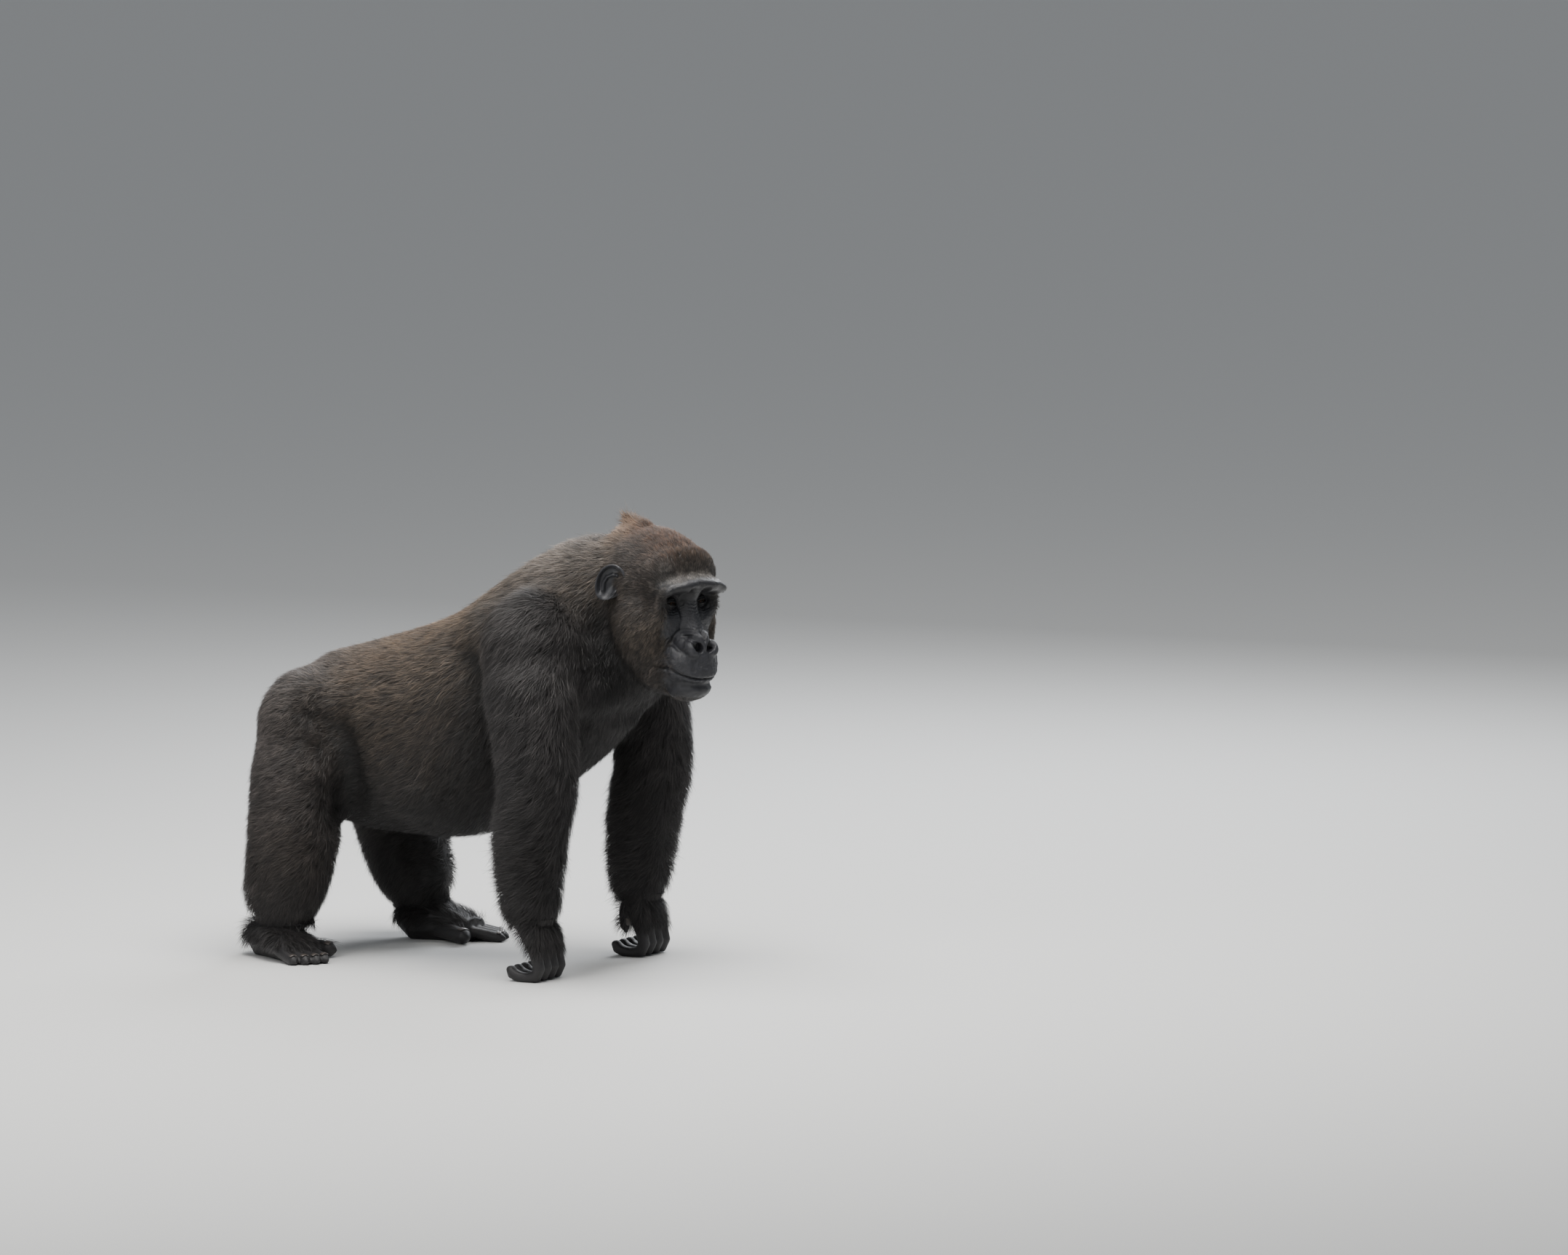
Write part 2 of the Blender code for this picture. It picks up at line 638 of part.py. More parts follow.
def nail(places, centres, first):
    """A thin plate over two facets between the last whole rings of a finger or toe."""
    columns = [(first + i) % 8 for i in range(-1, 2)]
    share = np.array(NAIL_ROWS)[:, None, None]
    grid = places[-3][columns] * (1 - share) + places[-2][columns] * share
    middle = centres[-3] * (1 - share) + centres[-2] * share
    outward = grid - middle
    reach = np.linalg.norm(outward, axis=2, keepdims=True)
    layers = [middle + outward * (1 + rise / reach) for rise in (2 * GAP, 2 * GAP + NAIL_THICK)]
    bm = bmesh.new()
    verts = [[[bm.verts.new(place) for place in row] for row in layer] for layer in layers]
    for i in range(2):
        for j in range(2):
            for layer in verts:
                bm.faces.new((layer[i][j], layer[i][j + 1], layer[i + 1][j + 1], layer[i + 1][j]))
    low, high = verts
    around = [(0, 0), (0, 1), (0, 2), (1, 2), (2, 2), (2, 1), (2, 0), (1, 0)]
    for (a, b), (c, d) in zip(around, around[1:] + around[:1]):
        bm.faces.new((low[a][b], low[c][d], high[c][d], high[a][b]))
    bmesh.ops.triangulate(bm, faces=bm.faces)
    return mesh_from(bm, "nail")


def finger_rows(hand, index):
    """Path of one bent finger, whose middle joint bears on the floor."""
    knuckle, out = HAND["knuckles"][0], HAND["knuckles"][1]
    across = hand * (out + (index - 1.5) * FINGER_PITCH)
    return [(knuckle + ahead, across, z, FINGER_HALF, deep) for ahead, z, deep in FINGER.values()]


def thumb_rows(hand):
    """Path of the short thumb, on the inner side of the hand and clear of the floor."""
    x, out, z = HAND["back_of_hand"][:3]
    inner = out - HAND["back_of_hand"][3]
    return [
        (x - 0.010, hand * (inner + 0.010), z + 0.016, THUMB_HALF, THUMB_HALF),
        (x - 0.006, hand * (inner - 0.011), z - 0.010, THUMB_HALF, THUMB_HALF),
        (x + 0.002, hand * (inner - 0.019), z - 0.036, 0.92 * THUMB_HALF, 0.92 * THUMB_HALF),
        (x + 0.008, hand * (inner - 0.020), z - 0.060, 0.80 * THUMB_HALF, 0.80 * THUMB_HALF),
    ]


def toe_rows(hand, index):
    """Path of one of the four smaller toes, from inside the ball of the foot."""
    ankle, ahead, outward = foot_frame(hand)
    root, tip = FOOT["ball"][0] + 0.008, FOOT["ball"][0] + 0.024 + TOE_LENGTH[index]
    side = outward * ((index - 1.25) * TOE_PITCH)
    steps = ((0.0, 0.0200, 0.0110), (0.45, 0.0130, 0.0120), (0.75, 0.0075, 0.0128), (1.0, 0.0068, 0.0108))
    return [
        (*(ankle + side + ahead * (root + share * (tip - root)) + UP * z), TOE_HALF, deep)
        for share, z, deep in steps
    ]


def great_toe_rows(hand):
    """Path of the great toe, which stands away from the others like a thumb."""
    ankle, ahead, outward = foot_frame(hand)
    length, half, spread = GREAT_TOE
    way = ahead * math.cos(spread) - outward * math.sin(spread)
    start = ankle + ahead * 0.030 - outward * 0.024
    steps = ((0.0, 0.0230, 1.00), (0.45, 0.0195, 1.02), (0.78, 0.0165, 1.0), (1.0, 0.0145, 0.86))
    return [
        (*(start + way * (share * (length + 0.016)) + UP * z), half * size, half * size)
        for share, z, size in steps
    ]


def add_digits(palm, foot, hand, side):
    """Fingers and thumb of one hand, toes of one foot, and their nails, each cut clear of its root."""
    _, _, outward = foot_frame(hand)
    level = (0, 1, 0)
    top = 2 if hand > 0 else 6
    made = [
        (f"{name}_finger_{side}", finger_rows(hand, i), level, palm, None, 10)
        for i, name in enumerate(FINGERS)
    ]
    made.append((f"thumb_{side}", thumb_rows(hand), level, palm, 2, 6))
    made.append((f"great_toe_{side}", great_toe_rows(hand), outward, foot, top, 6))
    made += [(f"toe_{i + 2}_{side}", toe_rows(hand, i), outward, foot, top, 6) for i in range(4)]
    for name, rows, across, root, nail_side, rings in made:
        mesh, places, centres = digit(rows, across, rings)
        to_object(name, largest_piece(minus(mesh, root, GAP)), "bare_skin")
        if nail_side is not None:
            to_object(f"nail_{name}", nail(places, centres, nail_side), "nail")


def centre_on_floor():
    """Bring the middle of the whole model's box over the origin."""
    meshes = [thing.data for thing in bpy.context.scene.objects]
    places = np.vstack([coordinates(mesh) for mesh in meshes])
    x, y, _ = -(places.min(axis=0) + places.max(axis=0)) / 2
    for mesh in meshes:
        mesh.transform(Matrix.Translation((x, y, 0)))


def main():
    """Model the body whole, part it, and add what is separate."""
    clear_scene()
    flesh = parted_body()
    head = flesh["head"][0]
    for hand, side in ((-1, "right"), (1, "left")):
        ball_of_eye = eye(hand)
        head = minus(head, ball_of_eye, GAP)
        to_object(f"eye_{side}", ball_of_eye, "eye")
    flesh["head"] = (largest_piece(head), "chestnut_coat")
    for hand, side in ((-1, "right"), (1, "left")):
        to_object(f"ear_{side}", largest_piece(minus(ear(hand), flesh["head"][0], GAP)), "bare_skin")
        add_digits(flesh[f"hand_{side}"][0], flesh[f"foot_{side}"][0], hand, side)
    for name, (mesh, look) in flesh.items():
        to_object(name, mesh, look)
    centre_on_floor()


main()
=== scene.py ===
"""The looks of a standing female gorilla: her hide, face, ears, eyes, nails and coat.

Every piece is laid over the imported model, which fixes the sizes. Metres, +Z up, she faces +X.
The head has a frame of its own: forward, left and up, from a place midway between the eyes.
"""

import itertools
import logging
import math
from collections.abc import Callable, Sequence
from dataclasses import dataclass
from enum import Enum

import bmesh
import bpy
import numpy as np
from mathutils import Matrix, Vector


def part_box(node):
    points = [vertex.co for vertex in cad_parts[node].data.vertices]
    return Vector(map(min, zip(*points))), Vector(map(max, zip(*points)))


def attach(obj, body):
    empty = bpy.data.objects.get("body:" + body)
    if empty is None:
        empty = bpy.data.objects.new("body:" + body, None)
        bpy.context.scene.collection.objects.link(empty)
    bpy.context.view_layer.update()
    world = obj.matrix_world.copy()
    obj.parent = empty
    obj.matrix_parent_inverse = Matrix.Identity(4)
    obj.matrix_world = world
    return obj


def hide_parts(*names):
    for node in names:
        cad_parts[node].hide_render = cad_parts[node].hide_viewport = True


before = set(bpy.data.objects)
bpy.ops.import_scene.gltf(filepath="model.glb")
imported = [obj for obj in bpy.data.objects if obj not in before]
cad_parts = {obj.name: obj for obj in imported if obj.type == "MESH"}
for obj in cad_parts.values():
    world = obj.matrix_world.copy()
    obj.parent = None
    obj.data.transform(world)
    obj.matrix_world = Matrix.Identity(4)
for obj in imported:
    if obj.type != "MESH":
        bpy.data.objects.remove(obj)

Array = np.ndarray
MM = 0.001
SIDES = ("right", "left")
FINGERS = ("index_finger", "middle_finger", "ring_finger", "little_finger", "thumb")
TOES = ("great_toe", "toe_2", "toe_3", "toe_4", "toe_5")
TRUNK_NODES = ("head", "jaw", "neck", "chest", "abdomen", "pelvis")
LIMB_NODES = ("upper_arm", "forearm", "thigh", "shank")
COAT_UV = "OFBake"
TINT = "tint"
GROWS = "grows"
SEED = 41
MERGE = 1e-5  # corners nearer than this are one
BLOCK = 20000  # rows worked on at once where every one meets every site

log = logging.getLogger("gorilla")


# ---------------------------------------------------------------- arithmetic on whole arrays
def unit(rows: Array) -> Array:
    """Each row at length one."""
    return rows / np.maximum(np.linalg.norm(rows, axis=-1, keepdims=True), 1e-12)


def ease(low: float, high: float, value: Array) -> Array:
    """A smooth step from 0 at low to 1 at high; low may be the larger of the two.

    Args:
        low: where the step is 0.
        high: where the step is 1.
        value: numbers to place on the step.

    Returns:
        t * t * (3 - 2 t), where t is the share of the way from low to high.
    """
    t = np.clip((value - low) / (high - low), 0.0, 1.0)
    return t * t * (3.0 - 2.0 * t)


def limb_step(places: Array, arm: tuple[float, float], leg: tuple[float, float]) -> Array:
    """A smooth step of the height between two bounds, which differ for arms and legs."""
    return np.where(places[:, 0] > 0, ease(*arm, places[:, 2]), ease(*leg, places[:, 2]))


def bell(value: Array, centre: float = 0.0, width: float = 1.0) -> Array:
    """A Gaussian bell of height 1: e to the minus square of the distance in widths."""
    return np.exp(-(((value - centre) / width) ** 2))


def lattice(cells: Array, seed: int) -> Array:
    """A repeatable number from 0 to 1 for each whole-number cell.

    Args:
        cells: rows of three whole numbers.
        seed: picks one of many such fields.

    Returns:
        One number for each row, from an integer hash of the row.
    """
    mixed = cells.astype(np.int64) @ np.array((73856093, 19349663, 83492791)) + seed * 7919
    mixed = mixed & 0x7FFFFFFF
    mixed = ((mixed ^ (mixed >> 13)) * 1274126177) & 0x7FFFFFFF
    mixed = ((mixed ^ (mixed >> 15)) * 1103515245) & 0x7FFFFFFF
    return (mixed >> 7 & 0xFFFF) / 65535.0


def noise(places: Array, size: float, seed: int) -> Array:
    """Smooth noise from -1 to 1: random values at lattice corners, blended by a smooth step.

    Args:
        places: rows of three coordinates.
        size: breadth of one lattice cell.
        seed: picks one of many such fields.

    Returns:
        One number for each row.
    """
    scaled = places / size
    base = np.floor(scaled)
    t = scaled - base
    t = t * t * (3.0 - 2.0 * t)
    total = np.zeros(len(places))
    for corner in itertools.product((0, 1), repeat=3):
        share = np.where(np.array(corner), t, 1.0 - t)
        total += share.prod(axis=1) * lattice(base + corner, seed)
    return 2.0 * total - 1.0


def path_distance(rows: Array, path: Sequence[Sequence[float]]) -> Array:
    """Distance of each row to the nearest segment of a path.

    Args:
        rows: rows of coordinates.
        path: the corners of the path, in order.

    Returns:
        One distance for each row.
    """
    points = np.array(path, float)
    nearest = np.full(len(rows), np.inf)
    for start, end in zip(points[:-1], points[1:]):
        along = end - start
        t = np.clip((rows - start) @ along / (along @ along), 0.0, 1.0)
        nearest = np.minimum(nearest, np.linalg.norm(rows - start - t[:, None] * along, axis=1))
    return nearest


def nearest_centres(places: Array, size: float, seed: int) -> tuple[Array, Array]:
    """The nearest of one scattered centre in each lattice cell, for every place.

    Args:
        places: rows of three coordinates.
        size: breadth of one lattice cell.
        seed: picks the scatter.

    Returns:
        The centres, and a number from 0 to 1 that belongs to each centre.
    """
    base = np.floor(places / size)
    best = np.full(len(places), np.inf)
    centres = places.copy()
    marks = np.zeros(len(places))
    for corner in itertools.product((-1, 0, 1), repeat=3):
        cell = base + corner
        jitter = np.stack([lattice(cell, seed + k) for k in range(3)], axis=1)
        centre = (cell + jitter) * size
        apart = ((centre - places) ** 2).sum(axis=1)
        near = apart < best
        best = np.where(near, apart, best)
        centres[near] = centre[near]
        marks = np.where(near, lattice(cell, seed + 3), marks)
    return centres, marks


# ---------------------------------------------------------------- meshes
def pulled(items: bpy.types.bpy_prop_collection, what: str, breadth: int, kind: type = np.float32) -> Array:
    """One property of all the items of a mesh, as a table.

    Args:
        items: vertices, edges, corners, triangles or the values of an attribute.
        what: name of the property.
        breadth: how many numbers an item has.
        kind: type of the numbers.

    Returns:
        One row for each item.
    """
    table = np.empty(len(items) * breadth, kind)
    items.foreach_get(what, table)
    return table.reshape(-1, breadth)


def read(mesh: bpy.types.Mesh, what: str = "co") -> Array:
    """The places or normals of a mesh's vertices, one row each."""
    return pulled(mesh.vertices, what, 3).astype(float)


def triangles(mesh: bpy.types.Mesh, what: str = "vertices") -> Array:
    """The vertices or loops of a mesh's triangles, one row of three numbers each."""
    mesh.calc_loop_triangles()
    return pulled(mesh.loop_triangles, what, 3, np.int32)


def write(mesh: bpy.types.Mesh, places: Array) -> None:
    """Put places back into a mesh's vertices."""
    mesh.vertices.foreach_set("co", places.astype(np.float32).ravel())
    mesh.update()


def mesh_of(name: str, places: Array, *faces: Array) -> bpy.types.Mesh:
    """A mesh from vertex rows and blocks of faces, each block with its own number of corners.

    Args:
        name: name of the new mesh.
        places: vertex rows.
        faces: arrays of vertex numbers, one row for each face.

    Returns:
        The new mesh, shaded smooth.
    """
    mesh = bpy.data.meshes.new(name)
    mesh.vertices.add(len(places))
    mesh.vertices.foreach_set("co", places.astype(np.float32).ravel())
    corners = np.concatenate([block.ravel() for block in faces]).astype(np.int32)
    counts = np.concatenate([np.full(len(block), block.shape[1], np.int32) for block in faces])
    mesh.loops.add(len(corners))
    mesh.loops.foreach_set("vertex_index", corners)
    mesh.polygons.add(len(counts))
    mesh.polygons.foreach_set("loop_start", np.concatenate(([0], np.cumsum(counts)[:-1])).astype(np.int32))
    mesh.polygons.foreach_set("use_smooth", np.ones(len(counts), bool))
    mesh.update(calc_edges=True)
    return mesh


def grid_faces(rows: int, columns: int, around: bool = False) -> Array:
    """Quads of a grid of vertices numbered row by row.

    Args:
        rows: how many rows of vertices.
        columns: how many vertices in a row.
        around: whether the last column joins the first.

    Returns:
        Rows of four vertex numbers.
    """
    i, j = np.meshgrid(np.arange(rows - 1), np.arange(columns - (not around)), indexing="ij")
    k = (j + 1) % columns
    quads = np.stack([i * columns + j, i * columns + k, (i + 1) * columns + k, (i + 1) * columns + j], -1)
    return quads.reshape(-1, 4)


def paint(mesh: bpy.types.Mesh, colours: Array) -> None:
    """Give every vertex a colour, under the name that the finishes read.

    Args:
        mesh: the mesh to colour.
        colours: one row for each vertex.
    """
    layer = mesh.color_attributes.new(TINT, "FLOAT_COLOR", "POINT")
    filled = np.ones((len(colours), 4), np.float32)
    filled[:, :3] = colours
    layer.data.foreach_set("color", filled.ravel())


def place_in_scene(name: str, mesh: bpy.types.Mesh) -> bpy.types.Object:
    """A new object in the scene that holds the mesh.

    Args:
        name: name of the object.
        mesh: what it shows.

    Returns:
        The object.
    """
    made = bpy.data.objects.new(name, mesh)
    bpy.context.scene.collection.objects.link(made)
    return made


def adjust(thing: bpy.types.bpy_struct, values: dict) -> None:
    """Set named properties of a modifier, a light or a node."""
    for key, value in values.items():
        setattr(thing, key, value)


def with_modifiers(mesh: bpy.types.Mesh, *settings: tuple[str, dict]) -> bpy.types.Mesh:
    """The mesh after a row of modifiers.

    Args:
        mesh: the mesh before them.
        settings: the type and the values of each modifier.

    Returns:
        A new mesh.
    """
    holder = place_in_scene("holder", mesh)
    for kind, values in settings:
        adjust(holder.modifiers.new(kind.lower(), kind), values)
    seen = holder.evaluated_get(bpy.context.evaluated_depsgraph_get())
    made = bpy.data.meshes.new_from_object(seen)
    bpy.data.objects.remove(holder, do_unlink=True)
    return made


def relax(
    places: Array, edges: Array, rounds: int, chosen: Array | float = 1.0, regain: float = 0.53
) -> Array:
    """Soften a surface without shrinking it.

    In each round every vertex moves half of the way to the mean of its neighbours, and then a
    little more than half of the way back from their new mean, so that only small waves are lost.

    Args:
        places: vertex rows.
        edges: pairs of vertex numbers.
        rounds: how many times.
        chosen: share of the movement, for all vertices or each one.
        regain: share of the way back, 0 for plain softening.

    Returns:
        The softened vertex rows.
    """
    count = np.bincount(edges.ravel(), minlength=len(places))[:, None]
    share = np.broadcast_to(np.asarray(chosen, float), (len(places),))[:, None]
    first, second = edges.T
    for step in (0.5, -regain) * rounds:
        total = np.stack(
            [
                np.bincount(first, places[second, axis], len(places))
                + np.bincount(second, places[first, axis], len(places))
                for axis in range(3)
            ],
            axis=1,
        )
        places = places + step * share * (total / count - places)
    return places


def edges_of(mesh: bpy.types.Mesh) -> Array:
    """The pairs of vertex numbers of a mesh's edges."""
    return pulled(mesh.edges, "vertices", 2, np.int32)


def merged_nodes(names: Sequence[str], swell: float) -> bpy.types.Mesh:
    """One mesh from merged copies of frame nodes, each swollen so that neighbours overlap.

    Args:
        names: the nodes.
        swell: how far each vertex moves out along its normal.

    Returns:
        The mesh of all the copies.
    """
    rows, faces, start = [], [], 0
    for name in names:
        copy = bmesh.new()
        copy.from_mesh(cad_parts[name].data)
        bmesh.ops.remove_doubles(copy, verts=copy.verts, dist=MERGE)
        mesh = bpy.data.meshes.new("copy")
        copy.to_mesh(mesh)
        copy.free()
        rows.append(read(mesh) + swell * read(mesh, "normal"))
        faces.append(pulled(mesh.loops, "vertex_index", 1, np.int32).reshape(-1, 3) + start)
        start += len(mesh.vertices)
        bpy.data.meshes.remove(mesh)
    return mesh_of("merged", np.vstack(rows), np.vstack(faces))


# ---------------------------------------------------------------- the head's own frame
EYE_BACK = 13.5 * MM  # centre of an eyeball behind the start of the head's frame


@dataclass(frozen=True)
class HeadFrame:
    """Forward, left and up of the head, from midway between the fronts of the eyes."""

    origin: Array
    turn: Array

    @classmethod
    def from_eyes(cls) -> "HeadFrame":
        """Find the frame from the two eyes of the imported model.

        Returns:
            The frame.
        """
        right, left = (np.mean([list(corner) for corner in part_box(f"eye_{side}")], axis=0) for side in SIDES)
        leftward = unit(left - right)
        upward = np.array((0.0, 0.0, 1.0))
        forward = np.cross(leftward, upward)
        return cls((left + right) / 2 + forward * EYE_BACK, np.stack([forward, leftward, upward], axis=1))

    def local(self, places: Array) -> Array:
        """World places in the head's frame."""
        return (places - self.origin) @ self.turn

    def world(self, places: Array) -> Array:
        """Places of the head's frame in the world."""
        return np.asarray(places, float) @ self.turn.T + self.origin

    def way(self, direction: Sequence[float]) -> Array:
        """A direction of the head's frame in the world."""
        return self.turn @ np.asarray(direction, float)


# ---------------------------------------------------------------- the lie of the coat
class Tint(Enum):
    """Colours of the hair, at its root and at its tip."""

    BLACK = ((0.0060, 0.0055, 0.0056), (0.026, 0.023, 0.023))
    SLATE = ((0.0066, 0.0061, 0.0065), (0.046, 0.041, 0.040))
    BROWN = ((0.0085, 0.0070, 0.0062), (0.088, 0.064, 0.045))
    GREY = ((0.0130, 0.0105, 0.0090), (0.158, 0.120, 0.090))
    # grey-tipped hair, made lighter and bluish also as a painted sheen on the rump
    STEEL = ((0.0100, 0.0094, 0.0098), (0.125, 0.112, 0.110))
    LOIN = ((0.0130, 0.0098, 0.0078), (0.205, 0.138, 0.088))
    UMBER = ((0.0084, 0.0072, 0.0067), (0.072, 0.057, 0.048))
    SPECKLED = ((0.0100, 0.0084, 0.0076), (0.112, 0.087, 0.064))
    CHESTNUT = ((0.0130, 0.0078, 0.0052), (0.138, 0.064, 0.032))
    TAN = ((0.0700, 0.0430, 0.0270), (0.360, 0.225, 0.140))
    FUZZ = ((0.0180, 0.0150, 0.0130), (0.215, 0.180, 0.152))
    PALE = ((0.0160, 0.0150, 0.0145), (0.200, 0.187, 0.173))


class Part(Enum):
    """The pieces that the coat is made in, and how many hairs each one has at full finish."""

    FACE = ("coat_face", 62000)
    NAPE = ("coat_nape", 56000)
    BACK = ("coat_back", 64000)
    FLANKS = ("coat_flanks", 64000)
    ARM_RIGHT = ("coat_arm_right", 62000)
    ARM_LEFT = ("coat_arm_left", 58000)
    LEG_RIGHT = ("coat_leg_right", 60000)
    LEG_LEFT = ("coat_leg_left", 56000)


@dataclass(frozen=True)
class Site:
    """The coat at one place of the body.

    place and lie are in metres and as a direction, in the head's frame for a site on the head.
    length is a hair's length and depth is how far its tip stands over the hide, in millimetres.
    reach is how far the site is felt, in millimetres.
    """

    part: str
    place: tuple[float, float, float]
    lie: tuple[float, float, float]
    length: float
    depth: float
    tint: Tint
    reach: float = 75.0
    width: float = 0.62


BODY_SITES = (
    Site("NAPE", (0.225, 0.000, 0.835), (-1.0, 0.0, -0.15), 30, 15, Tint.FUZZ, 42),
    Site("NAPE", (0.235, 0.095, 0.745), (-0.30, 0.90, -0.38), 28, 13, Tint.SPECKLED, 42),
    Site("NAPE", (0.262, 0.085, 0.620), (-0.45, 0.0, -1.0), 24, 10, Tint.BLACK, 55),
    Site("NAPE", (0.300, 0.000, 0.545), (-0.55, 0.0, -0.90), 20, 8, Tint.BLACK, 60),
    Site("NAPE", (0.250, 0.000, 0.440), (-0.20, 0.0, -1.0), 20, 8, Tint.BLACK, 75),
    Site("BACK", (0.120, 0.000, 0.812), (-1.0, 0.0, -0.20), 30, 13, Tint.FUZZ, 60),
    Site("BACK", (0.020, 0.000, 0.735), (-1.0, 0.0, -0.45), 26, 11, Tint.GREY, 75),
    Site("BACK", (-0.090, 0.000, 0.670), (-1.0, 0.0, -0.30), 24, 10, Tint.LOIN, 80),
    Site("BACK", (-0.200, 0.060, 0.634), (-1.0, 0.0, -0.30), 22, 9, Tint.LOIN, 80),
    Site("BACK", (-0.300, 0.060, 0.600), (-1.0, 0.0, -0.40), 22, 9, Tint.GREY, 80),
    # the rump's STEEL hair carries a painted sheen as well as its grey tips
    Site("BACK", (-0.405, 0.060, 0.550), (-0.80, 0.0, -0.75), 20, 8, Tint.STEEL, 70),
    Site("BACK", (-0.480, 0.070, 0.450), (-0.25, 0.0, -1.0), 20, 8, Tint.STEEL, 70),
    Site("BACK", (-0.470, 0.060, 0.340), (-0.05, 0.0, -1.0), 22, 9, Tint.BROWN, 60),
    Site("BACK", (0.030, 0.120, 0.720), (-0.90, 0.15, -0.60), 30, 12, Tint.SPECKLED, 65),
    Site("FLANKS", (-0.090, 0.165, 0.600), (-0.85, 0.0, -0.65), 26, 10, Tint.SPECKLED, 75),
    Site("FLANKS", (-0.220, 0.170, 0.530), (-0.95, 0.0, -0.32), 24, 10, Tint.SPECKLED, 75),
    Site("FLANKS", (-0.100, 0.200, 0.470), (-0.80, 0.0, -0.65), 28, 11, Tint.BROWN, 80),
    Site("FLANKS", (-0.100, 0.180, 0.340), (-0.60, 0.0, -0.60), 28, 11, Tint.BLACK, 80),
    Site("FLANKS", (-0.220, 0.185, 0.430), (-0.95, 0.0, -0.35), 26, 10, Tint.BROWN, 55),
    Site("FLANKS", (-0.220, 0.170, 0.330), (-0.90, 0.0, -0.30), 24, 9, Tint.BLACK, 60),
    Site("FLANKS", (-0.120, 0.000, 0.240), (-1.0, 0.0, 0.0), 24, 9, Tint.BLACK, 110),
    Site("FLANKS", (0.080, 0.000, 0.320), (-0.90, 0.0, -0.30), 22, 9, Tint.BLACK, 90),
    Site("FLANKS", (0.020, 0.175, 0.450), (-0.60, 0.0, -0.80), 26, 10, Tint.BLACK, 60),
    Site("FLANKS", (-0.300, 0.000, 0.250), (-1.0, 0.0, 0.20), 20, 8, Tint.BLACK, 80),
    Site("ARM", (0.080, 0.190, 0.730), (-0.80, 0.20, -0.65), 32, 13, Tint.SLATE, 60, 0.68),
    Site("ARM", (0.160, 0.225, 0.690), (-0.52, 0.56, -0.68), 34, 13, Tint.SLATE, 60, 0.68),
    Site("ARM", (0.212, 0.203, 0.706), (-0.26, 1.05, -0.57), 30, 12, Tint.SLATE, 42, 0.68),
    Site("ARM", (0.250, 0.180, 0.640), (-0.10, 0.85, -0.90), 28, 11, Tint.SLATE, 60, 0.68),
    Site("ARM", (0.150, 0.285, 0.560), (-0.60, 0.0, -0.90), 36, 14, Tint.SLATE, 75, 0.68),
    Site("ARM", (0.170, 0.295, 0.440), (-0.85, 0.0, -0.65), 38, 16, Tint.SLATE, 70, 0.68),
    Site("ARM", (0.085, 0.215, 0.440), (-0.60, 0.0, -0.90), 42, 18, Tint.BLACK, 70, 0.68),
    Site("ARM", (0.265, 0.215, 0.430), (-0.50, 0.0, -0.90), 30, 12, Tint.SLATE, 70, 0.68),
    Site("ARM", (0.170, 0.285, 0.330), (-1.0, 0.0, -0.25), 38, 15, Tint.SLATE, 60, 0.68),
    Site("ARM", (0.250, 0.210, 0.300), (-0.70, 0.5, -0.10), 32, 12, Tint.SLATE, 60, 0.68),
    Site("ARM", (0.165, 0.280, 0.230), (-1.0, 0.0, 0.10), 36, 14, Tint.SLATE, 60, 0.68),
    Site("ARM", (0.090, 0.210, 0.230), (-0.85, 0.0, -0.60), 44, 20, Tint.BLACK, 60, 0.68),
    Site("ARM", (0.095, 0.210, 0.330), (-0.90, 0.0, -0.55), 46, 21, Tint.SLATE, 50, 0.68),
    Site("ARM", (0.165, 0.265, 0.160), (-0.55, 0.0, -0.80), 32, 13, Tint.BLACK, 45, 0.68),
    Site("ARM", (0.190, 0.200, 0.095), (-0.20, 0.0, -1.0), 20, 6, Tint.SLATE, 32),
    Site("ARM", (0.150, 0.130, 0.330), (-0.30, 0.0, -1.0), 26, 11, Tint.BLACK, 60, 0.68),
    Site("LEG", (-0.380, 0.235, 0.440), (-0.90, 0.0, -0.60), 22, 9, Tint.UMBER, 75),
    Site("LEG", (-0.440, 0.190, 0.360), (-0.60, -0.25, -0.80), 24, 10, Tint.STEEL, 70),
    Site("LEG", (-0.380, 0.245, 0.320), (-1.0, 0.0, -0.45), 24, 10, Tint.UMBER, 70),
    Site("LEG", (-0.290, 0.195, 0.340), (-0.45, 0.60, -0.60), 24, 10, Tint.BLACK, 50),
    Site("LEG", (-0.350, 0.080, 0.300), (-0.20, 0.0, -1.0), 22, 9, Tint.BLACK, 60),
    Site("LEG", (-0.380, 0.250, 0.210), (-1.0, 0.0, -0.50), 28, 12, Tint.UMBER, 60),
    Site("LEG", (-0.470, 0.185, 0.200), (-0.60, 0.0, -0.90), 34, 15, Tint.SLATE, 60),
    Site("LEG", (-0.370, 0.235, 0.120), (-0.70, 0.0, -0.90), 28, 11, Tint.BLACK, 50),
    Site("LEG", (-0.380, 0.130, 0.140), (-0.25, 0.0, -1.0), 24, 10, Tint.BLACK, 55),
    Site("LEG", (-0.360, 0.190, 0.055), (0.60, 0.0, -0.60), 19, 6, Tint.SLATE, 38),
)

